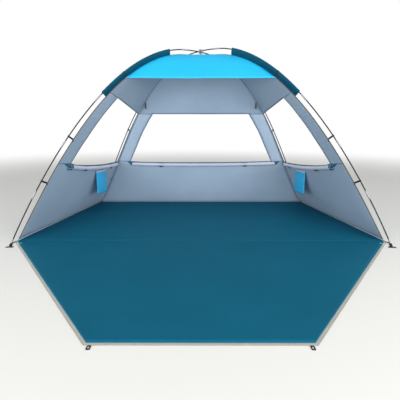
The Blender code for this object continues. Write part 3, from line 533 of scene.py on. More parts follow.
def woven(name, colour, roughness=0.62, thread=0.0011, relief=0.22, mottle=0.07, crease=0.25,
          sheen=0.15, mottle_scale=2.2):
    """Woven cloth: its weave, slubs along the threads, uneven colour and soft creases."""
    material = bpy.data.materials.new(name)
    material.use_nodes = True
    links = material.node_tree.links
    shader = material.node_tree.nodes["Principled BSDF"]
    shader.inputs["Sheen Weight"].default_value = sheen
    shader.inputs["Sheen Roughness"].default_value = 0.45
    uv = node(material, "UVMap", uv_map="cloth").outputs[0]
    place = node(material, "TexCoord").outputs["Object"]
    stretched = node(material, "VectorMath", {0: uv, 1: slub_stretch}, operation="MULTIPLY")
    slub = node(material, "TexNoise", {"Vector": stretched.outputs[0], "Scale": 1.0, "Detail": 2.0})
    cloud = node(material, "TexNoise", {"Vector": place, "Scale": mottle_scale, "Detail": 5.0,
                                        "Roughness": 0.55})
    soft = node(material, "MapRange", {"Value": cloud.outputs[0], "From Min": 0.3,
                                       "From Max": 0.7, "To Min": 1.0 - mottle,
                                       "To Max": 1.0 + mottle})
    fine = node(material, "MapRange", {"Value": slub.outputs[0], "From Min": 0.3,
                                       "From Max": 0.7, "To Min": 0.95, "To Max": 1.05})
    share = maths(material, "MULTIPLY", soft.outputs[0], fine.outputs[0])
    shade = node(material, "VectorMath", {0: colour[:3], "Scale": share}, operation="SCALE")
    links.new(shade.outputs[0], shader.inputs["Base Color"])
    gloss = node(material, "MapRange", {"Value": slub.outputs[0], "To Min": roughness - 0.06,
                                        "To Max": roughness + 0.06})
    links.new(gloss.outputs[0], shader.inputs["Roughness"])
    creases = node(material, "TexNoise", {"Vector": place, "Scale": 9.0, "Detail": 3.0,
                                          "Distortion": 1.2})
    broad = node(material, "Bump", {"Strength": crease, "Distance": 0.006,
                                    "Height": creases.outputs[0]})
    fine_bump = node(material, "Bump", {"Strength": relief, "Distance": 0.0003,
                                        "Height": weave_height(material, uv, thread),
                                        "Normal": broad.outputs[0]})
    links.new(fine_bump.outputs[0], shader.inputs["Normal"])
    return material


# The walls' silver is the roof's silver cloth written lighter: painted light that offsets the shade
# on the walls under the roof.
cabin_silver_lifted = woven("cabin_silver_lifted", tint(149, 169, 189), roughness=0.5, sheen=0.1)
wall_teal = woven("wall_teal", tint(0, 92, 130))
roof_silver = woven("roof_silver", tint(138, 158, 179), roughness=0.5, sheen=0.1)
roof_blue = woven("roof_blue", tint(30, 172, 226))
# How finely rows and the columns of each strip are split, and each wall's cut with its area of
# cloth.
row_splits = 5
strip_splits = {"left": (7, 22, 2), "right": (7, 22, 2), "back": (4, 34, 4)}
wall_nodes = {"left": "left_side_panel", "right": "right_side_panel", "back": "back_panel"}


def row_stops(first, last):
    """Fractional rows from first to last, with a stop at each whole row."""
    return [first + step / row_splits for step in range((last - first) * row_splits + 1)]


roll_radius = 0.019
roll_wall_gap = 0.0012
sill_fade = 0.06
sill_slack = 0.004
# Each roll's ends along the sill, its sag, how far its two ends hang, and its toggles' places.
roll_runs = {"left": ((0.055, 0.975), 0.026, (0.0, 0.012), (0.09, 0.34, 0.84)),
             "right": ((0.055, 0.975), 0.026, (0.0, 0.012), (0.09, 0.33, 0.86)),
             "back": ((0.055, 0.945), 0.012, (0.008, 0.002), (0.23, 0.80))}


def sill_drop(wall, column):
    """How far the weight of the rolled flap pulls the window's lower edge down."""
    ends, sag, hangs, _ = roll_runs[wall]
    share = (column - ends[0]) / (ends[1] - ends[0])
    first, last = window_columns(wall, sill_row)[1:3]
    inside = min(column - first, last - column) / sill_fade
    if inside <= 0.0:
        return 0.0
    hang = hangs[0] + (hangs[1] - hangs[0]) * share + sag * 4.0 * share * (1.0 - share)
    return max(0.0, hang - sill_slack) * min(1.0, inside) ** 0.7


def wall_surface(wall, row, column):
    """A point of a wall's cloth with the relief of its tension."""
    if sill_row - 1 < row <= sill_row:
        drop = sill_drop(wall, column)
        if drop > 0.0:
            high = wall_place(wall, sill_row, column)[0]
            low = wall_place(wall, sill_row - 1, column)[0]
            row -= (row - sill_row + 1) * drop / (high - low).length
    point, inward = wall_place(wall, row, column)
    fade = min(1.0, ripple_from_sides * column * (1.0 - column))
    fade *= min(1.0, row * ripple_from_floor)
    return point + inward * ripple(point) * fade


for wall in ("left", "right", "back"):
    stops = []
    cuts = strip_splits[wall]
    for strip, count in enumerate(cuts):
        stops += [strip + step / count for step in range(count)]
    stops.append(3.0)
    row_list = row_stops(0, top_row)
    rows = [[wall_surface(wall, row, column_at(wall, row, stop)) for stop in stops]
            for row in row_list]
    window = {(r, c) for r in range(sill_row * row_splits, header_row * row_splits)
              for c in range(cuts[0], cuts[0] + cuts[1])}
    tags = [0 if row < header_row else 2 for row in row_list[:-1]]
    panel = cloth_object(f"{wall}_wall", rows, cloth_thickness, tags=tags, gone=window,
                         faces=(cabin_silver_lifted, wall_teal, roof_silver, roof_blue))
    _, inward = wall_place(wall, 0.1, 0.1)
    if panel.data.polygons[0].normal.dot(inward) < 0:
        panel.data.flip_normals()
    dress(panel, f"{wall}_wall", None, "cabin", wall_nodes[wall])


# Seams and edges of the walls. Flat-felled seams join the panels, a folded slate tape binds
# each window, and one half of the door's zip is sewn along the front edge of each side.
edge_round = 0.6
merge_distance = 0.00002


def swept(name, stations, profile, ring=False):
    """A solid band along stations of (point, sideways, up), with a closed profile of
    (sideways, up) corners. A ring has no ends."""
    rows = [[point + sideways * a + up * h for a, h in profile]
            for point, sideways, up in stations]
    if ring:
        rows.append(rows[0])
    item = cloth_object(name, rows, 0.0, closed=True)
    shape = bmesh.new()
    shape.from_mesh(item.data)
    if ring:
        bmesh.ops.remove_doubles(shape, verts=shape.verts, dist=merge_distance)
    else:
        bmesh.ops.holes_fill(shape, edges=shape.edges, sides=len(profile))
    bmesh.ops.recalc_face_normals(shape, faces=shape.faces)
    shape.to_mesh(item.data)
    shape.free()
    pick(item)
    bpy.ops.object.shade_smooth_by_angle(angle=math.radians(35))
    return item


def band_profile(low, high, bottom, top):
    """A flat band's profile with its edges rounded off."""
    edge = min((top - bottom) / 2, (high - low) / 2) * edge_round
    return [(low, bottom + edge), (low, top - edge), (low + edge, top), (high - edge, top),
            (high, top - edge), (high, bottom + edge), (high - edge, bottom), (low + edge, bottom)]


def flat_profile(width, thickness):
    """A flat band's profile about its own middle."""
    return band_profile(-width / 2, width / 2, -thickness / 2, thickness / 2)


def edge_profile(way, past, reach, half):
    """The profile of a band along an edge of cloth. It reaches one way over the cloth, and
    a little past the edge."""
    low, high = sorted((-past * way, reach * way))
    return band_profile(low, high, -half, half)


def way_to(station, place):
    """1 where a place lies on the side that a station's sideways direction points to, or -1."""
    point, sideways, _ = station
    return 1.0 if sideways.dot(place - point) > 0 else -1.0


def round_profile(radius, sides, centre=(0.0, 0.0)):
    """A round cord's profile."""
    return [(centre[0] + radius * math.cos(2 * math.pi * step / sides),
             centre[1] + radius * math.sin(2 * math.pi * step / sides)) for step in range(sides)]


def guided(points, ups, ring=False):
    """Stations along points: each with its sideways direction, mitred at the corners."""
    result = []
    count = len(points)
    for index, (point, up) in enumerate(zip(points, ups)):
        before = points[index - 1] if ring or index > 0 else point
        after = points[(index + 1) % count] if ring or index < count - 1 else point
        sides = [(b - a).cross(up).normalized() for a, b in ((before, point), (point, after))
                 if (b - a).length > 1e-7]
        total = sides[0] + sides[-1]
        result.append((point, total * (2.0 / total.length_squared) if total.length > 0.2
                       else sides[0], up))
    return result


def on_wall(wall, path):
    """Points and inward directions along a path of (row, stop) on a wall."""
    points = []
    ups = []
    for row, stop in path:
        column = column_at(wall, row, stop)
        points.append(wall_surface(wall, row, column))
        ups.append(wall_place(wall, row, column)[1])
    return points, ups


def stepped(first, last, count):
    """Evenly spaced pairs from the first up to but not including the last."""
    return [tuple(a + (b - a) * step / count for a, b in zip(first, last))
            for step in range(count)]


thread_radius = 0.0005
stitch_share = 0.72


def stitched_tape(name, colour, thread_colour, rows, roughness=0.7, stitch=0.0045,
                  thread=0.0009, sheen=0.1, relief=0.4):
    """Narrow woven tape with rows of stitches at the given distances from its edge."""
    material = woven(name, colour, roughness=roughness, thread=thread, relief=relief,
                     mottle=0.05, crease=0.1, sheen=sheen, mottle_scale=12.0)
    links = material.node_tree.links
    shader = material.node_tree.nodes["Principled BSDF"]
    uv = node(material, "UVMap", uv_map="cloth").outputs[0]
    parts = node(material, "SeparateXYZ", {0: uv}).outputs
    beat = maths(material, "FRACT", maths(material, "DIVIDE", parts[1], stitch))
    drawn = maths(material, "LESS_THAN", beat, stitch_share)
    near = None
    for row in rows:
        off = maths(material, "ABSOLUTE", maths(material, "SUBTRACT", parts[0], row))
        hit = maths(material, "LESS_THAN", off, thread_radius)
        near = hit if near is None else maths(material, "MAXIMUM", near, hit)
    thread_mask = maths(material, "MULTIPLY", near, drawn)
    old_colour = shader.inputs["Base Color"].links[0].from_socket
    mixed = node(material, "Mix", {0: thread_mask, 6: old_colour, 7: thread_colour},
                 data_type="RGBA")
    links.new(mixed.outputs[2], shader.inputs["Base Color"])
    old_normal = shader.inputs["Normal"].links[0].from_socket
    raised = node(material, "Bump", {"Strength": 0.6, "Distance": 0.0005,
                                     "Height": thread_mask, "Normal": old_normal})
    links.new(raised.outputs[0], shader.inputs["Normal"])
    return material


binding_width = 0.011
binding_past = 0.0014
binding_half = 0.0013
binding_steps = 40
seam_width = 0.008
seam_thickness = 0.0022
seam_steps = 9
seam_tape_lift = 0.0012
tape_cloth = 0.0008
slate_tape = stitched_tape("slate_tape", tint(92, 112, 134), tint(70, 88, 108), (0.004, 0.009))
seam_tape = stitched_tape("seam_tape", tint(112, 131, 152), tint(84, 102, 122), (0.0022, 0.0058))
outer_tape = stitched_tape("outer_tape", tint(0, 74, 108), tint(20, 110, 150), (0.0022, 0.0058))
zip_tan = stitched_tape("zip_tan", tint(112, 104, 96), tint(82, 74, 66), (0.004, 0.0075))
zip_coil = stitched_tape("zip_coil", tint(96, 86, 76), tint(66, 58, 50),
                         (0.002, 0.004, 0.006), stitch=0.0026)
zip_foot_row = 0.085
zip_tape_reach = 0.011
zip_tape_half = 0.0012
zip_coil_radius = 0.0017
zip_coil_past = 0.0022
coil_sides = 8
cut_rows = (header_row - sill_row) * row_splits * 2
window_corners = ((sill_row, 1.0), (sill_row, 2.0), (header_row, 2.0), (header_row, 1.0),
                  (sill_row, 1.0))
for wall in ("left", "right", "back"):
    path = []
    for first, last, count in zip(window_corners, window_corners[1:],
                                  (binding_steps, cut_rows, binding_steps, cut_rows)):
        path += stepped(first, last, count)
    points, ups = on_wall(wall, path)
    stations = guided(points, ups, ring=True)
    centre = sum(points, Vector()) / len(points)
    outwards = -way_to(stations[5], centre)
    binding = swept(f"{wall}_window_binding", stations,
                    edge_profile(outwards, binding_past, binding_width, binding_half), ring=True)
    dress(binding, binding.name, slate_tape, "cabin")
    for row, row_name in ((sill_row, "sill"), (header_row, "header")):
        for first, last, end_name in ((0.0, 1.0, "near"), (2.0, 3.0, "far")):
            path = stepped((row, first), (row, last), seam_steps) + [(row, last)]
            seam = swept(f"{wall}_{row_name}_seam_{end_name}", guided(*on_wall(wall, path)),
                         flat_profile(seam_width, seam_thickness))
            dress(seam, seam.name, seam_tape, "cabin")

for side_name, columns in (("left", (1.0, 0.0)), ("right", (1.0, 1.0))):
    meeting = ((f"{side_name}_back_seam", side_name, columns[0], "back", columns[1], 0, top_row),
               (f"{side_name}_front_seam", side_name, 0.0, "visor", columns[1], hem_row, top_row))
    for seam_name, wall_a, column_a, wall_b, column_b, first_row, last_row in meeting:
        for face_name, lift, material in (("inner", seam_tape_lift, seam_tape),
                                          ("outer", -seam_tape_lift, outer_tape)):
            rows = []
            for row in row_stops(first_row, last_row):
                line = []
                for wall, column in ((wall_a, column_a), (wall_b, column_b)):
                    first, second = seam_span(wall, row)
                    step = seam_width / 2 / (second - first).length
                    toward = 1.0 if column < 0.5 else -1.0
                    places = [wall_place(wall, row, column + toward * step * part, lift)[0]
                              for part in (1.0, 0.5)]
                    line += places if wall == wall_a else places[::-1]
                middle = seam_point(*walls[wall_a][int(column_a)], row)
                inner_way = (wall_place(wall_a, row, column_a)[1]
                             + wall_place(wall_b, row, column_b)[1])
                line.insert(2, middle + inner_way.normalized() * lift)
                rows.append(line)
            tape = cloth_object(f"{seam_name}_{face_name}", rows, tape_cloth)
            dress(tape, tape.name, material, "cabin")

    zip_rows = [zip_foot_row] + row_stops(0, hem_row)[1:]
    stations = guided(*on_wall(side_name, [(row, 0.0) for row in zip_rows]))
    way = way_to(stations[8], wall_surface(side_name, 2, 0.3))
    zip_edge = swept(f"{side_name}_wall_zip_tape", stations,
                     edge_profile(way, zip_tape_half, zip_tape_reach, zip_tape_half))
    dress(zip_edge, zip_edge.name, zip_tan, "cabin")
    coil = swept(f"{side_name}_wall_zip_coil", stations,
                 round_profile(zip_coil_radius, coil_sides, (-zip_coil_past * way, 0.0)))
    dress(coil, coil.name, zip_coil, "cabin")


# Visor. The front of the roof is one bright blue panel, seen from its outer side, with a
# turned hem along its lower edge.
visor_columns = 48
hem_steps = 60
hem_reach = 0.016
hem_half = 0.0012
visor_outside = woven("visor_outside", tint(22, 170, 216), roughness=0.6, mottle=0.04, sheen=0.0)
set_glint(visor_outside, 0.25)
hem_blue = stitched_tape("hem_blue", tint(30, 176, 226), tint(16, 150, 200), (0.004, 0.013))
rows = [[wall_surface("visor", row, step / visor_columns) for step in range(visor_columns + 1)]
        for row in row_stops(hem_row, top_row)]
visor = cloth_object("visor_panel", rows, cloth_thickness, faces=(roof_silver, visor_outside))
_, inward = wall_place("visor", (hem_row + top_row) / 2, 0.5)
if visor.data.polygons[len(visor.data.polygons) // 2].normal.dot(inward) < 0:
    visor.data.flip_normals()
dress(visor, "visor_panel", None, "cabin", "visor")
columns = [step / hem_steps for step in range(hem_steps + 1)]
stations = guided([wall_surface("visor", hem_row, column) for column in columns],
                  [wall_place("visor", hem_row, column)[1] for column in columns])
way = way_to(stations[hem_steps // 2], wall_surface("visor", hem_row + 1, 0.5))
hem = swept("visor_hem", stations, edge_profile(way, hem_half, hem_reach, hem_half))
dress(hem, "visor_hem", hem_blue, "cabin")


# Sleeves. Flat tunnels of dark teal cloth hold the poles along the roof seams, hemmed at
# both ends, with one line of stitches along each face. A black strap crosses each front one.
sleeve_outer_reach = 0.0122
sleeve_half_thickness = 0.0090
sleeve_egg = 0.35
sleeve_wall = 0.0009
sleeve_slack = 0.0028
slack_scale = 38.0
sleeve_sides = 22
sleeve_steps = 90
sleeve_hem = 0.012
cuff_offset = 0.0009
cuff_wall = 0.0010
share_step = 0.01
tangent_step = 0.002
front_gap = 0.0015
back_gap = 0.0011
strap_width = 0.014
strap_offset = 0.0017
strap_thickness = 0.0014
strap_quarters = (-0.5, -0.25, 0.0, 0.25, 0.5)
strap_sides = 20
strap_span = range(3, 18)


def pole_frame(share, side):
    """Place, tangent, the way to the fabric, the third way and the distance to the seam."""
    here = pole_point(share, side)
    low = pole_point(max(-1.0, share - tangent_step), side)
    high = pole_point(min(1.0, share + tangent_step), side)
    tangent = (high - low).normalized()
    inward = seam_arch(share, side) - here
    inward -= tangent * inward.dot(tangent)
    reach = inward.length
    inward.normalize()
    return here, tangent, inward, tangent.cross(inward), reach


def sleeve_ring(share, side, angles, gap, offset=0.0, shift=0.0, slack=0.0):
    """Points round a sleeve's egg-shaped section, whose thicker end holds the pole."""
    here, tangent, inward, third, reach = pole_frame(share, side)
    inner = reach - gap + offset
    outer = -sleeve_outer_reach - offset
    points = []
    for angle in angles:
        fullness = 1.0 - sleeve_egg * math.cos(angle)
        along = (outer + inner) / 2 + (inner - outer) / 2 * math.cos(angle)
        half = sleeve_half_thickness + offset
        point = here + tangent * shift + inward * along
        point += third * (half * math.sin(angle) * fullness)
        give = slack * noise.noise(point * slack_scale) * abs(math.sin(angle))
        points.append(point + third * give)
    return points


sleeve_teal = stitched_tape("sleeve_teal", tint(0, 70, 94), tint(0, 92, 116), (0.0135, 0.0395),
                            roughness=0.6, relief=0.25, thread=0.0011, sheen=0.0)
set_glint(sleeve_teal, 0.1)
webbing_black = stitched_tape("webbing_black", tint(13, 13, 15), tint(34, 34, 38),
                              (0.0025, 0.0115), thread=0.0017, relief=0.6)
full_turn = [2.0 * math.pi * step / sleeve_sides for step in range(sleeve_sides)]
for side_name, side in (("left", 1), ("right", -1)):
    parts = (("front", front_row_shares, side, (7, 13), front_gap),
             ("back", back_row_shares, -side, (9, 14), back_gap))
    for part_name, shares, arch_side, (first_row, last_row), gap in parts:
        ends = [shares[first_row], shares[last_row]]
        stops = [ends[0] + (ends[1] - ends[0]) * step / sleeve_steps
                 for step in range(sleeve_steps + 1)]
        rows = [sleeve_ring(share, arch_side, full_turn, gap, slack=sleeve_slack)
                for share in stops]
        name = f"{side_name}_{part_name}_pole_sleeve"
        sleeve = cloth_object(name, rows, sleeve_wall, closed=True)
        dress(sleeve, name, sleeve_teal, "cabin", f"{side_name}_{part_name}_sleeve")
        for end_number, (share, inwards) in enumerate(((ends[0], 1), (ends[1], -1)), 1):
            ahead = pole_point(share + share_step, arch_side) - pole_point(share, arch_side)
            pole_length = abs(pole_frame(share, arch_side)[1].dot(ahead)) / share_step
            forward = math.copysign(1.0, ends[1] - ends[0]) * inwards
            rows = [sleeve_ring(share + forward * at / pole_length, arch_side, full_turn, gap,
                                cuff_offset, slack=sleeve_slack)
                    for at in (0.0, sleeve_hem / 2, sleeve_hem)]
            cuff = cloth_object(f"{name}_hem_{end_number}", rows, cuff_wall, closed=True)
            dress(cuff, cuff.name, sleeve_teal, "cabin")
    share = front_row_shares[hem_row]
    angles = [2.0 * math.pi * step / strap_sides for step in strap_span]
    rows = [sleeve_ring(share, side, angles, front_gap, strap_offset, strap_width * quarter,
                        sleeve_slack / 2) for quarter in strap_quarters]
    strap = cloth_object(f"{side_name}_corner_strap", rows, strap_thickness)
    dress(strap, strap.name, webbing_black, "cabin", f"{side_name}_sleeve_strap")


# Clips. Black moulded hooks snap round the poles; a webbing tab sewn over the wall's edge
# holds each of them.
def coat(node_name, material):
    """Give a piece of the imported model, which is shown as it is, its finish."""
    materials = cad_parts[node_name].data.materials
    materials.clear()
    materials.append(material)


moulded_black = plain_material("moulded_black", tint(12, 12, 14), 0.45, grain=0.25,
                               grain_scale=700.0)
clip_rows = {"front": (2, 4), "back": (2, 5)}
clip_columns = {"front": 0, "back": 1}
tab_inset = 0.0006
tab_past = 0.002
tab_reach = 0.015
tab_half = 0.008
tab_half_thickness = 0.0021
tab_steps = 3
for side_name in ("left", "right"):
    for part_name in ("front", "back"):
        for number in (1, 2):
            coat(f"{side_name}_{part_name}_clip_{number}", moulded_black)
            row = clip_rows[part_name][number - 1]
            column = clip_columns[part_name]
            first, second = seam_span(side_name, row)
            inset = tab_inset / (second - first).length
            row_length = (seam_span(side_name, row + 0.5)[column]
                          - seam_span(side_name, row - 0.5)[column]).length
            spots = [wall_place(side_name, row + (step / tab_steps - 1.0) * tab_half / row_length,
                                abs(column - inset)) for step in range(2 * tab_steps + 1)]
            stations = guided(*zip(*spots))
            way = way_to(stations[tab_steps], wall_place(side_name, row, abs(column - 0.1))[0])
            tab = swept(f"{side_name}_{part_name}_clip_tab_{number}", stations,
                        edge_profile(way, tab_past, tab_reach, tab_half_thickness))
            dress(tab, tab.name, webbing_black, "cabin")


# Floor. One sheet of coated teal oxford is sewn to the walls all round, with a pale tape
# over that seam on the inside. The door lies in front of it as a porch.
floor_cloth = 0.0016
floor_middle = 0.0011
floor_relief = 0.0022
relief_mean = 0.5
relief_waves = ((3.1, 0.9), (11.0, 0.3))
floor_columns = 96
floor_rows = 48
floor_back_gap = 0.0005
floor_short = 0.0008
edge_fade = 0.09
porch_depth = 1.285
porch_rows = 44
shoulder_rows = 3
porch_front_half_width = 0.492
porch_fold_inset = 0.0075
porch_shoulder_inset = 0.022
porch_shoulder_depth = 0.035
zip_tape_width = 0.018
zip_corner_inset = 0.0015
fold_gap = 0.0003
fold_seam_width = 2.868
fold_seam_steps = 80
fold_seam_half = 0.006
fold_seam_cloth = 0.0006
fold_seam_edge_height = 0.0023
fold_seam_crown = 0.0004
porch_slope = ((front_half_width - porch_shoulder_inset - porch_front_half_width)
               / (porch_depth - porch_shoulder_depth))


def half_width(y):
    """Half the width of the floor and the porch at a place from back to front."""
    if y >= feet_y:
        return back_half_width + (front_half_width - back_half_width) * (back_y - y) / cabin_depth
    ahead = feet_y - y
    if ahead < porch_shoulder_depth:
        return (front_half_width - porch_fold_inset
                - (porch_shoulder_inset - porch_fold_inset) * ahead / porch_shoulder_depth)
    return porch_front_half_width + porch_slope * (porch_depth - ahead)


def ground_cloth(x, y, low_y, high_y):
    """A point of the cloth that lies on the ground, with the slack between its seams."""
    inset = min(half_width(y) - abs(x), y - low_y, high_y - y)
    fade = min(1.0, max(0.0, inset) / edge_fade)
    place = Vector((x, y, 0.0))
    slack = relief_mean
    for scale, amount in relief_waves:
        slack += amount * noise.noise(place * scale)
    return Vector((x, y, floor_middle + floor_relief * max(0.0, slack) * fade * fade))


def ground_rows(stops, low_y, high_y):
    """Rows of a ground sheet between its two sides."""
    return [[ground_cloth(half_width(y) * (2.0 * step / floor_columns - 1.0), y, low_y, high_y)
             for step in range(floor_columns + 1)] for y in stops]


floor_oxford = woven("floor_oxford", tint(16, 90, 116), roughness=0.62, thread=0.0012, relief=0.3,
                     mottle=0.05, sheen=0.0)
set_glint(floor_oxford, 0.04)
stops = [back_y - floor_back_gap - (cabin_depth - floor_short) * step / floor_rows
         for step in range(floor_rows + 1)]
floor_piece = cloth_object("floor_cloth", ground_rows(stops, feet_y, back_y), floor_cloth)
dress(floor_piece, "floor_cloth", floor_oxford, "cabin", "floor_sheet")

porch_front_y = feet_y - porch_depth
stops = [feet_y - fold_gap - porch_shoulder_depth * step / shoulder_rows
         for step in range(shoulder_rows)]
stops += [feet_y - porch_shoulder_depth - (porch_depth - porch_shoulder_depth) * step / porch_rows
          for step in range(porch_rows + 1)]
porch_piece = cloth_object("porch_door_cloth", ground_rows(stops, porch_front_y, feet_y),
                           floor_cloth)
dress(porch_piece, "porch_door_cloth", floor_oxford, "porch", "porch_door_panel")

rows = []
for part in (1.0, 0.66, 0.33, 0.0, -0.33, -0.66, -1.0):
    y = feet_y + fold_seam_half * part
    z = fold_seam_edge_height + fold_seam_crown * (1 - abs(part))
    rows.append([Vector((fold_seam_width * (step / fold_seam_steps - 0.5), y, z))
                 for step in range(fold_seam_steps + 1)])
fold_seam = cloth_object("porch_fold_seam", rows, fold_seam_cloth)
dress(fold_seam, "porch_fold_seam", floor_oxford, None)
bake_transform(fold_seam)

# The seam tape is pale, and is written paler and bluer still: painted light that offsets the shade
# where the walls meet the floor.
floor_seam_tape_lifted = stitched_tape("floor_seam_tape_lifted", tint(206, 232, 250), tint(160, 186, 208),
                                (0.004, 0.009))
floor_tape_rows = (0.001, 0.024, 0.048)
floor_tape_inset = 0.004
floor_tape_lift = 0.0014
floor_tape_steps = 60
for wall in ("left", "right", "back"):
    columns = [floor_tape_inset + (1.0 - 2.0 * floor_tape_inset) * step / floor_tape_steps
               for step in range(floor_tape_steps + 1)]
    rows = [[wall_place(wall, row, column, floor_tape_lift)[0] for column in columns]
            for row in floor_tape_rows]
    tape = cloth_object(f"{wall}_floor_seam", rows, tape_cloth)
    dress(tape, tape.name, floor_seam_tape_lifted, "cabin")


# Door edge. The porch's three free edges carry a silver tape, sewn on with two rows of teal
# thread, and one half of the door's coil zip along the outside.
edge_counts = (3, 60, 40, 60, 3)
coil_outset = 0.0159
coil_height = 0.0016
coil_radius = 0.0013
door_tape_cloth = 0.0009


def porch_edge(outset):
    """The right side of the porch's edge, moved outwards: at the fold, the shoulder and
    the front corner."""
    shoulder = Vector((front_half_width - porch_shoulder_inset, feet_y - porch_shoulder_depth, 0.0))
    front = Vector((porch_front_half_width, feet_y - porch_depth, 0.0))
    slope = (shoulder - front).normalized()
    share = outset / zip_tape_width
    fold_x = front_half_width - porch_fold_inset + share * (porch_fold_inset - zip_corner_inset)
    widening = Vector((outset / slope.y, 0.0, 0.0))
    front_widening = Vector((outset * (1.0 - slope.x) / slope.y, -outset, 0.0))
    moved = shoulder + widening
    limit = front_half_width - zip_corner_inset
    if moved.x > limit:
        moved -= slope * ((moved.x - limit) / slope.x)
    return [Vector((fold_x, feet_y - fold_gap, 0.0)), moved, front + front_widening]


def edge_line(outset, height):
    """Evenly spaced points round the porch's edge, from its right side to its left."""
    right = porch_edge(outset)
    corners = right + [Vector((-point.x, point.y, 0.0)) for point in reversed(right)]
    points = []
    for first, last, count in zip(corners, corners[1:], edge_counts):
        points += [first.lerp(last, step / count) for step in range(count)]
    points.append(corners[-1])
    return [point + Vector((0.0, 0.0, height)) for point in points]


tape_outsets = (0.0004, 0.003, 0.006, 0.009, 0.012, 0.0146)
tape_heights = (0.0016, 0.0022, 0.0018, 0.0017, 0.0019, 0.0014)
tape_silver = stitched_tape("tape_silver", tint(166, 174, 170), tint(24, 104, 132),
                            (0.0016, 0.0042), thread=0.0013, relief=0.6)
lines = [edge_line(outset, height) for outset, height in zip(tape_outsets, tape_heights)]
door_tape = cloth_object("door_zip_tape", [list(row) for row in zip(*lines)], door_tape_cloth)
dress(door_tape, "door_zip_tape", tape_silver, "porch", "porch_zip_tape")
points = edge_line(coil_outset, coil_height)
door_coil = swept("door_zip_coil", guided(points, [Vector((0.0, 0.0, 1.0))] * len(points)),
                  round_profile(coil_radius, coil_sides))
door_tan = stitched_tape("door_tan", tint(172, 152, 128), tint(128, 108, 84),
                         (0.002, 0.004, 0.006, 0.008), stitch=0.003, thread=0.0015)
dress(door_coil, "door_zip_coil", door_tan, "porch")


# Zip sliders. A cast slider with a bridge over it runs on each side of the door, and holds
# a moulded pull in pale aqua.
slider_length = 0.020
slider_width = 0.012
slider_height = 0.0034
slider_bevel = 0.0014
slider_lift = 0.0023
slider_start = 0.072
bridge_length = slider_length * 0.62
bridge_width = 0.0036
bridge_height = 0.0018
bridge_lift = 0.0046
bridge_bevel = 0.0008
pull_length = 0.026
pull_width = 0.007
pull_thickness = 0.0016
pull_lift = 0.0030
pull_overlap = 0.001
pull_bevel = 0.0007
pull_neck = 0.62
pull_cuts = (-pull_length * 0.2, pull_length * 0.25)
slider_aqua = plain_material("slider_aqua", tint(150, 216, 218), 0.38, grain=0.1, mottle=0.04)


def one_slider(shoulder, front, side):
    """A slider's body, bridge and pull, each shaped from a block, joined as one casting."""
    along = (front - shoulder).normalized()
    inwards = Vector((along.y * side, -along.x * side, 0.0))
    travel = (slider_start - porch_shoulder_depth) / -along.y
    place = shoulder + along * travel - inwards * zip_tape_width / 2
    pull_y = slider_width / 2 + pull_length / 2 - pull_overlap
    blocks = ((0.0, slider_height / 2, slider_length, slider_width, slider_height, slider_bevel),
              (0.0, bridge_lift, bridge_length, bridge_width, bridge_height, bridge_bevel),
              (pull_y, pull_lift, pull_width, pull_length, pull_thickness, pull_bevel))
    pieces = []
    for y, z, length, width, height, bevel in blocks:
        bpy.ops.object.select_all(action="DESELECT")
        bpy.ops.mesh.primitive_cube_add(size=1.0)
        item = bpy.context.object
        bpy.ops.object.mode_set(mode="EDIT")
        bpy.ops.mesh.select_all(action="SELECT")
        bpy.ops.transform.resize(value=(length, width, height))
        bpy.ops.mesh.bevel(offset=bevel, segments=3, affect="EDGES")
        if y > 0:
            for cut in pull_cuts:
                bpy.ops.mesh.select_all(action="SELECT")
                bpy.ops.mesh.bisect(plane_co=(0.0, cut, 0.0), plane_no=(0.0, 1.0, 0.0))
        bpy.ops.object.mode_set(mode="OBJECT")
        for vertex in item.data.vertices:
            if y > 0 and vertex.co.y < pull_cuts[0] / 2:
                vertex.co.x *= pull_neck
            vertex.co += Vector((0.0, y, slider_lift + z))
        pieces.append(item)
    if along.cross(inwards).z < 0:
        along = -along
    turn = Matrix((along, inwards, along.cross(inwards))).transposed().to_4x4()
    pick(*pieces)
    bpy.ops.object.join()
    joined = bpy.context.object
    joined.data.transform(Matrix.Translation(place) @ turn)
    bpy.ops.object.shade_smooth_by_angle(angle=math.radians(40))
    return joined


for side_name, side in (("left", -1), ("right", 1)):
    _, shoulder, front = [Vector((side * point.x, point.y, 0.0)) for point in porch_edge(0.0)]
    slider = one_slider(shoulder, front, side)
    dress(slider, f"{side_name}_slider", slider_aqua, f"{side_name}_slider",
          f"{side_name}_zip_slider")


# Ground fixings. Each pole foot stands in a steel eyelet in a strap of black webbing, whose
# cross bar takes a peg, and a webbing loop is sewn to each front corner of the porch.
webbing_rib = 0.0019
eyelet_radius = 0.0063
eyelet_wire = 0.0015
eyelet_height = 0.0020
eyelet_squash = 0.7
eyelet_foot = 0.0002
webbing_flat = bpy.data.materials.new("webbing_flat")
webbing_flat.use_nodes = True
webbing_shader = webbing_flat.node_tree.nodes["Principled BSDF"]
webbing_place = node(webbing_flat, "TexCoord").outputs["Object"]
rib_height = weave_height(webbing_flat, webbing_place, webbing_rib)
webbing_cloud = node(webbing_flat, "TexNoise", {"Vector": webbing_place, "Scale": 60.0,
                                                "Detail": 4.0})
webbing_share = node(webbing_flat, "MapRange", {"Value": webbing_cloud.outputs[0],
                                                "To Min": 0.75, "To Max": 1.25})
webbing_shade = node(webbing_flat, "VectorMath", {0: tint(12, 12, 14)[:3],
                                                  "Scale": webbing_share.outputs[0]},
                     operation="SCALE")
webbing_bump = node(webbing_flat, "Bump", {"Strength": 0.5, "Distance": 0.0004,
                                           "Height": rib_height})
webbing_flat.node_tree.links.new(webbing_shade.outputs[0], webbing_shader.inputs["Base Color"])
webbing_flat.node_tree.links.new(webbing_bump.outputs[0], webbing_shader.inputs["Normal"])
webbing_shader.inputs["Roughness"].default_value = 0.78
set_glint(webbing_flat, 0.2)
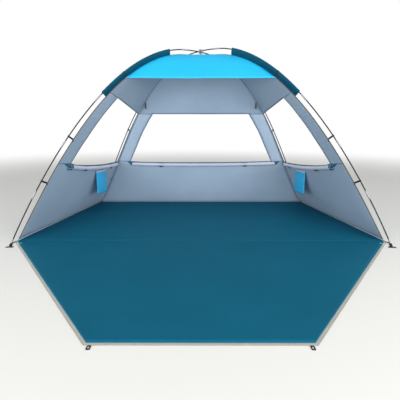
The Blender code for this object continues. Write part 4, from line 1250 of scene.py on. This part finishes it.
for side_name, side in (("left", -1), ("right", 1)):
    coat(f"{side_name}_porch_peg_loop", webbing_flat)
    for end, foot in zip(("front", "back"), pole_feet):
        coat(f"{side_name}_{end}_foot_strap", webbing_flat)
        bpy.ops.object.select_all(action="DESELECT")
        bpy.ops.mesh.primitive_torus_add(major_radius=eyelet_radius, minor_radius=eyelet_wire,
                                         major_segments=28, minor_segments=8,
                                         location=(side * abs(foot.x), foot.y, 0.0))
        eyelet = bpy.context.object
        bpy.ops.object.transform_apply()
        for vertex in eyelet.data.vertices:
            vertex.co.z = max(vertex.co.z * eyelet_squash, -eyelet_foot) + eyelet_height
        bpy.ops.object.shade_smooth_by_angle(angle=math.radians(60))
        dress(eyelet, f"{side_name}_{end}_eyelet", ferrule_steel, "cabin")


# Window flaps. Each window closes with a flap of the wall's own cloth, sewn along the sill
# on the inside. They are rolled down from the top, with the silver face outwards, and an
# elastic loop and a barrel toggle hold each roll in two or three places.
flap_cloth = 0.0007
roll_outer = 0.0181
roll_pitch = 0.0017
turn_steps = 20
turn_density = 1.6
band_steps = 5
band_run = 0.026
band_lift = 0.0021
band_rise = 0.0008
band_bow = 0.0006
corner_run = 0.085
wrinkle_height = 0.0010
wrinkle_along = 9.0
wrinkle_round = 0.7
roll_steps = 20
elastic_width = 0.0045
elastic_thickness = 0.0011
elastic_gap = 0.0001
elastic_steps = 32
pinch_share = 0.16
pinch_reach = 0.051
pinch_fade = 0.030
# Each flap's length, the places of its two side edges along the roll at the sill, past its
# corner and at its end, and its columns.
flap_reach = {"left": (0.60, (0.068, 0.165, 0.25), (0.985, 0.955, 0.90), 84),
              "right": (0.60, (0.068, 0.160, 0.25), (0.985, 0.955, 0.90), 84),
              "back": (0.53, (0.0525, 0.086, 0.135), (0.984, 0.945, 0.90), 120)}
# The flap's silver face is the walls' silver cloth written much lighter: a painted highlight for
# the lit top of the roll.
flap_silver = woven("flap_silver", tint(186, 190, 208), roughness=0.5, relief=0.3, mottle=0.06,
                    crease=0.5, sheen=0.1, mottle_scale=7.0)
flap_teal = woven("flap_teal", tint(2, 88, 112), roughness=0.55)
elastic_blue = stitched_tape("elastic_blue", tint(150, 215, 235), tint(120, 190, 215),
                             (0.0012, 0.0032), thread=0.0008, relief=0.7, stitch=0.002)


def roll_frame(wall, share):
    """Centre of a roll at a share of its length, the way along it, the way off the wall
    and the way up the wall."""
    ends, sag, hangs, _ = roll_runs[wall]
    along = ends[0] + (ends[1] - ends[0]) * share
    place = wall_place(wall, sill_row, along)[0]
    low = wall_place(wall, sill_row - 1, along)[0]
    direction = (wall_place(wall, sill_row, along + column_step)[0] - place).normalized()
    level = Vector((-direction.y, direction.x, 0.0)).normalized()
    if level.dot(place) > 0:
        level.negate()
    normal = direction.cross(place - low).normalized()
    if normal.dot(level) < 0:
        normal.negate()
    up = normal.cross(direction)
    if up.z < 0:
        up.negate()
    hang = hangs[0] + (hangs[1] - hangs[0]) * share
    drop = roll_radius + hang + sag * 4.0 * share * (1.0 - share)
    reach = (roll_radius + roll_wall_gap + drop * normal.z) / normal.dot(level)
    return place + level * reach - Vector((0.0, 0.0, drop)), direction, normal, up


def roll_hold(wall, share, length):
    """How far the loops draw a roll in at a place: 1 where it is free."""
    held = 0.0
    for toggle in roll_runs[wall][3]:
        off = abs(share - toggle) * length
        near = min(1.0, max(0.0, (pinch_reach - off) / pinch_fade))
        held = max(held, near * near * (3.0 - 2.0 * near))
    return 1.0 - pinch_share * held


def flap_edge(stops, run, whole):
    """Where a side edge of the flap lies along the roll, after a run of cloth."""
    tip, base, last = stops
    if run < corner_run:
        return tip + (base - tip) * math.sin(run / corner_run * math.pi / 2)
    return base + (last - base) * (run - corner_run) / (whole - corner_run)


def flap_point(wall, along, run, length):
    """A point of a rolled flap: along the roll, after a run of cloth from the sill."""
    ends = roll_runs[wall][0]
    share = (along - ends[0]) / (ends[1] - ends[0])
    centre, direction, normal, up = roll_frame(wall, share)
    hold = roll_hold(wall, share, length)
    top = wall_surface(wall, sill_row, along) + normal * band_lift + up * band_rise
    back = centre - normal * roll_outer * hold
    span = (top - back).length
    if run < span:
        part = run / span
        return top.lerp(back, part) + normal * (math.sin(part * math.pi) * band_bow)
    turns = (roll_outer - math.sqrt(max(0.00001, roll_outer ** 2
                                        - roll_pitch * (run - span) / math.pi))) / roll_pitch
    angle = turns * 2.0 * math.pi
    radius = (roll_outer - turns * roll_pitch) * hold
    facing = 0.5 - 0.5 * math.cos(angle)
    place = Vector((along * length * wrinkle_along, math.cos(angle) * wrinkle_round,
                    math.sin(angle) * wrinkle_round))
    wrinkle = noise.noise(place) * wrinkle_height + noise.noise(place * 2.7) * wrinkle_height / 2
    radius += (wrinkle - 0.3 * wrinkle_height) * facing * hold
    return centre - normal * radius * math.cos(angle) - up * radius * math.sin(angle)


for wall in ("left", "right", "back"):
    whole, near_edge, far_edge, columns = flap_reach[wall]
    centres = [roll_frame(wall, step / roll_steps)[0] for step in range(roll_steps + 1)]
    length = sum((b - a).length for a, b in zip(centres, centres[1:]))
    steps = int(whole / (2.0 * math.pi * roll_outer) * turn_density * turn_steps)
    runs = [band_run * step / band_steps for step in range(band_steps)]
    runs += [band_run + (whole - band_run) * step / steps for step in range(steps + 1)]
    rows = []
    for run in runs:
        first = flap_edge(near_edge, run, whole)
        last = flap_edge(far_edge, run, whole)
        rows.append([flap_point(wall, first + (last - first) * step / columns, run, length)
                     for step in range(columns + 1)])
    flap_name = f"{wall}_window_flap"
    flap = cloth_object(flap_name, rows, flap_cloth, faces=(flap_silver, flap_teal))
    middle = flap.data.polygons[columns * (band_steps + 8) + columns // 2]
    centre = roll_frame(wall, 0.5)[0]
    if middle.normal.dot(middle.center - centre) < 0:
        flap.data.flip_normals()
    dress(flap, flap_name, None, "cabin", f"{wall}_rolled_flap")
    for number, toggle in enumerate(roll_runs[wall][3], 1):
        centre, direction, normal, up = roll_frame(wall, toggle)
        radius = (roll_outer * (1.0 - pinch_share) + flap_cloth / 2 + elastic_thickness / 2
                  + elastic_gap)
        stations = []
        for step in range(elastic_steps):
            angle = 2.0 * math.pi * step / elastic_steps
            out = normal * math.cos(angle) + up * math.sin(angle)
            stations.append((centre + out * radius, direction, out))
        loop = swept(f"{wall}_flap_loop_{number}", stations,
                     flat_profile(elastic_width, elastic_thickness), ring=True)
        dress(loop, loop.name, elastic_blue, "cabin")
        coat(f"{wall}_toggle_{number}", moulded_black)


# Pockets. Two pouches of bright blue cloth hang under the side windows. A silver hem
# stiffens each mouth, and a tape closes the foot.
pocket_cloth = woven("pocket_cloth", tint(36, 163, 214), roughness=0.6, mottle=0.06, crease=0.6,
                     sheen=0.1, mottle_scale=9.0)
pocket_silver = stitched_tape("pocket_silver", tint(168, 176, 186), tint(120, 130, 142),
                              (0.004, 0.018), relief=0.3, thread=0.0011)
pocket_tape = stitched_tape("pocket_tape", tint(20, 118, 160), tint(60, 160, 200), (0.003,))
pocket_top = 0.445
pocket_height = 0.237
pocket_shares = (0.60, 0.765)
pocket_hang = 0.0026
pocket_hem = 0.022
hem_rows = 3
pocket_rows = 30
pocket_across = 26
pocket_flare = 0.018
pocket_mouth = 0.0135
pocket_foot = 0.0022
pocket_belly = 0.005
pocket_pinch = 0.0012
pocket_fold = 0.0022
pocket_fold_scale = (5.0, 9.0, 30.0)
pocket_pinch_share = 0.08
pocket_wall = 0.0009
hem_lift = 0.0010
foot_tape_half = 0.0024
foot_tape_drop = 0.003
foot_tape_rise = 0.005
foot_tape_steps = 12


def pocket_ring(start, along, inward, width, run, proud):
    """Points round a pocket at a depth under its mouth."""
    part = run / pocket_height
    flare = pocket_flare * part
    depth = pocket_mouth * (1.0 - part) ** 0.6 + pocket_foot
    depth += pocket_belly * math.sin(part * math.pi)
    if part < pocket_pinch_share:
        depth -= pocket_pinch * (1.0 - part / pocket_pinch_share)
    points = []
    for step in range(pocket_across):
        across = step / (pocket_across - 1)
        place = start + along * across * (width + flare)
        points.append(place - inward * proud - Vector((0.0, 0.0, run)))
    for step in range(1, pocket_across - 1):
        across = 1.0 - step / (pocket_across - 1)
        place = start + along * across * (width + flare)
        swell = depth * math.sin(across * math.pi) ** 0.55
        spot = [size * scale for size, scale in zip((across, run, width), pocket_fold_scale)]
        fold = noise.noise(Vector(spot))
        swell += fold * pocket_fold * math.sin(across * math.pi) * math.sin(part * math.pi) ** 0.5
        points.append(place + inward * (swell + proud) - Vector((0.0, 0.0, run)))
    return points


for side_name in ("left", "right"):
    corners = []
    for share in pocket_shares:
        low = wall_place(side_name, sill_row - 1, share)[0]
        high = wall_place(side_name, sill_row, share)[0]
        place = low.lerp(high, (pocket_top - low.z) / (high.z - low.z))
        direction = wall_place(side_name, sill_row, share + column_step)[0] - high
        inward = Vector((-direction.y, direction.x, 0.0)).normalized()
        if inward.dot(place) > 0:
            inward.negate()
        corners.append(place + inward * pocket_hang)
    along = (corners[1] - corners[0]).normalized()
    width = (corners[1] - corners[0]).length
    runs = [pocket_height * step / pocket_rows for step in range(pocket_rows + 1)]
    rows = [pocket_ring(corners[0], along, inward, width, run, 0.0) for run in runs]
    pocket = cloth_object(f"{side_name}_pocket_pouch", rows, pocket_wall, closed=True)
    dress(pocket, pocket.name, pocket_cloth, f"{side_name}_pocket", f"{side_name}_hanging_pocket")
    rows = [pocket_ring(corners[0], along, inward, width, pocket_hem * step / hem_rows, hem_lift)
            for step in range(hem_rows + 1)]
    hem = cloth_object(f"{side_name}_pocket_hem", rows, pocket_wall, closed=True)
    dress(hem, hem.name, pocket_silver, f"{side_name}_pocket")
    foot = corners[0] - Vector((0.0, 0.0, pocket_height)) + inward * (pocket_foot / 2)
    stations = [(foot + along * ((width + pocket_flare) * step / foot_tape_steps), inward,
                 Vector((0.0, 0.0, 1.0))) for step in range(foot_tape_steps + 1)]
    tape = swept(f"{side_name}_pocket_foot", stations,
                 band_profile(-foot_tape_half, foot_tape_half, -foot_tape_drop, foot_tape_rise))
    dress(tape, tape.name, pocket_tape, f"{side_name}_pocket")


# Hanging loops. A loop of black webbing is sewn into each back seam of the roof, for a
# lamp or a line.
loop_row_share = 0.54
loop_length = 0.060
loop_half_width = 0.00345
loop_webbing = 0.0011
loop_depth = 0.009
loop_place = (0.010, -0.0032, -0.006)
bend_steps = 12
for side_name, side in (("left", 1), ("right", -1)):
    top = seam_arch(loop_row_share, -side) + Vector((side * loop_place[0], *loop_place[1:]))
    bend = loop_half_width - loop_webbing / 2
    stations = []
    for centre_z, first in ((-loop_half_width, 0.0), (loop_half_width - loop_length, math.pi)):
        for step in range(bend_steps + 1):
            angle = first + math.pi * step / bend_steps
            out = Vector((0.0, math.cos(angle), math.sin(angle)))
            place = top + Vector((0.0, 0.0, centre_z)) + out * bend
            stations.append((place, Vector((1.0, 0.0, 0.0)), out))
    webbing = swept(f"{side_name}_roof_loop", stations, flat_profile(loop_depth, loop_webbing),
                    ring=True)
    dress(webbing, webbing.name, webbing_black, f"{side_name}_loop", f"{side_name}_hanging_loop")


# Tie at the crossing. A grey cord is lashed round both poles, and a dark strap runs from
# the lashing down to the roof's peak.
tie_cloth = stitched_tape("tie_slate", tint(30, 42, 56), tint(66, 82, 98), (0.0018, 0.0062),
                          relief=0.5)
lashing_cord = stitched_tape("lashing_cord", tint(150, 152, 170), tint(176, 178, 194),
                             (0.003, 0.009), thread=0.0012, relief=0.8, stitch=0.003)
lashing_radius = 0.0030
lashing_turns = 6
lashing_pitch = 0.0062
lashing_gaps = (0.0004, 0.0002)
lashing_corner = 0.0072
lashing_slack = 0.0016
lashing_leans = (-0.0013, 0.0016)
lashing_sides = 12
corner_steps = 6
pole_slope = 0.5375
peak_half = 0.0166
peak_corner = 0.006
peak_shift = 0.0005
peak_under = 0.0022
peak_over = 0.0042
peak_width = 0.008
peak_thickness = 0.0012
crossing_share = 2.0 * -pole_feet[0].x / (pole_feet[1].x - pole_feet[0].x) - 1.0
low_pole = pole_point(crossing_share, 1)
high_pole = pole_point(crossing_share, -1)
lashing_low = low_pole.z - rod_radius - lashing_radius - lashing_gaps[0]
lashing_high = high_pole.z + rod_radius + lashing_radius + lashing_gaps[1]


def rounded_loop(half, low, high, corner):
    """Places and outward ways round a standing rectangle with round corners, across x."""
    result = []
    for quarter, (y_sign, z_sign) in enumerate(((1, 1), (-1, 1), (-1, -1), (1, -1))):
        for step in range(corner_steps + 1):
            angle = math.pi / 2 * (quarter + step / corner_steps)
            out = Vector((0.0, math.cos(angle), math.sin(angle)))
            centre_z = (high - corner) if z_sign > 0 else (low + corner)
            result.append((Vector((0.0, y_sign * (half - corner), centre_z)) + out * corner, out))
    return result


for number in range(1, lashing_turns + 1):
    offset = lashing_pitch * (number - (lashing_turns + 1) / 2)
    half = ((abs(offset) + lashing_radius) * pole_slope + rod_radius + lashing_radius
            + lashing_slack)
    lean = lashing_leans[number % 2]
    stations = []
    for place, out in rounded_loop(half, lashing_low, lashing_high, lashing_corner):
        spot = place + Vector((offset + lean * out.y, low_pole.y, 0.0))
        stations.append((spot, Vector((1.0, 0.0, 0.0)), out))
    turn = swept(f"lashing_turn_{number}", stations, round_profile(lashing_radius, lashing_sides),
                 ring=True)
    dress(turn, turn.name, lashing_cord, "cabin", *(("apex_tie",) if number == 1 else ()))
peak_front = low_pole.y - peak_half
peak_share = 2.0 * (peak_front - feet_y) / cabin_depth - 1.0
peak = seam_arch(peak_share, 1).z
loop = rounded_loop(peak_half, peak + peak_under, lashing_high + peak_over, peak_corner)
stations = [(place + Vector((peak_shift, low_pole.y, 0.0)), Vector((1.0, 0.0, 0.0)), out)
            for place, out in loop]
strap = swept("peak_strap", stations, flat_profile(peak_width, peak_thickness), ring=True)
dress(strap, "peak_strap", tie_cloth, "cabin")
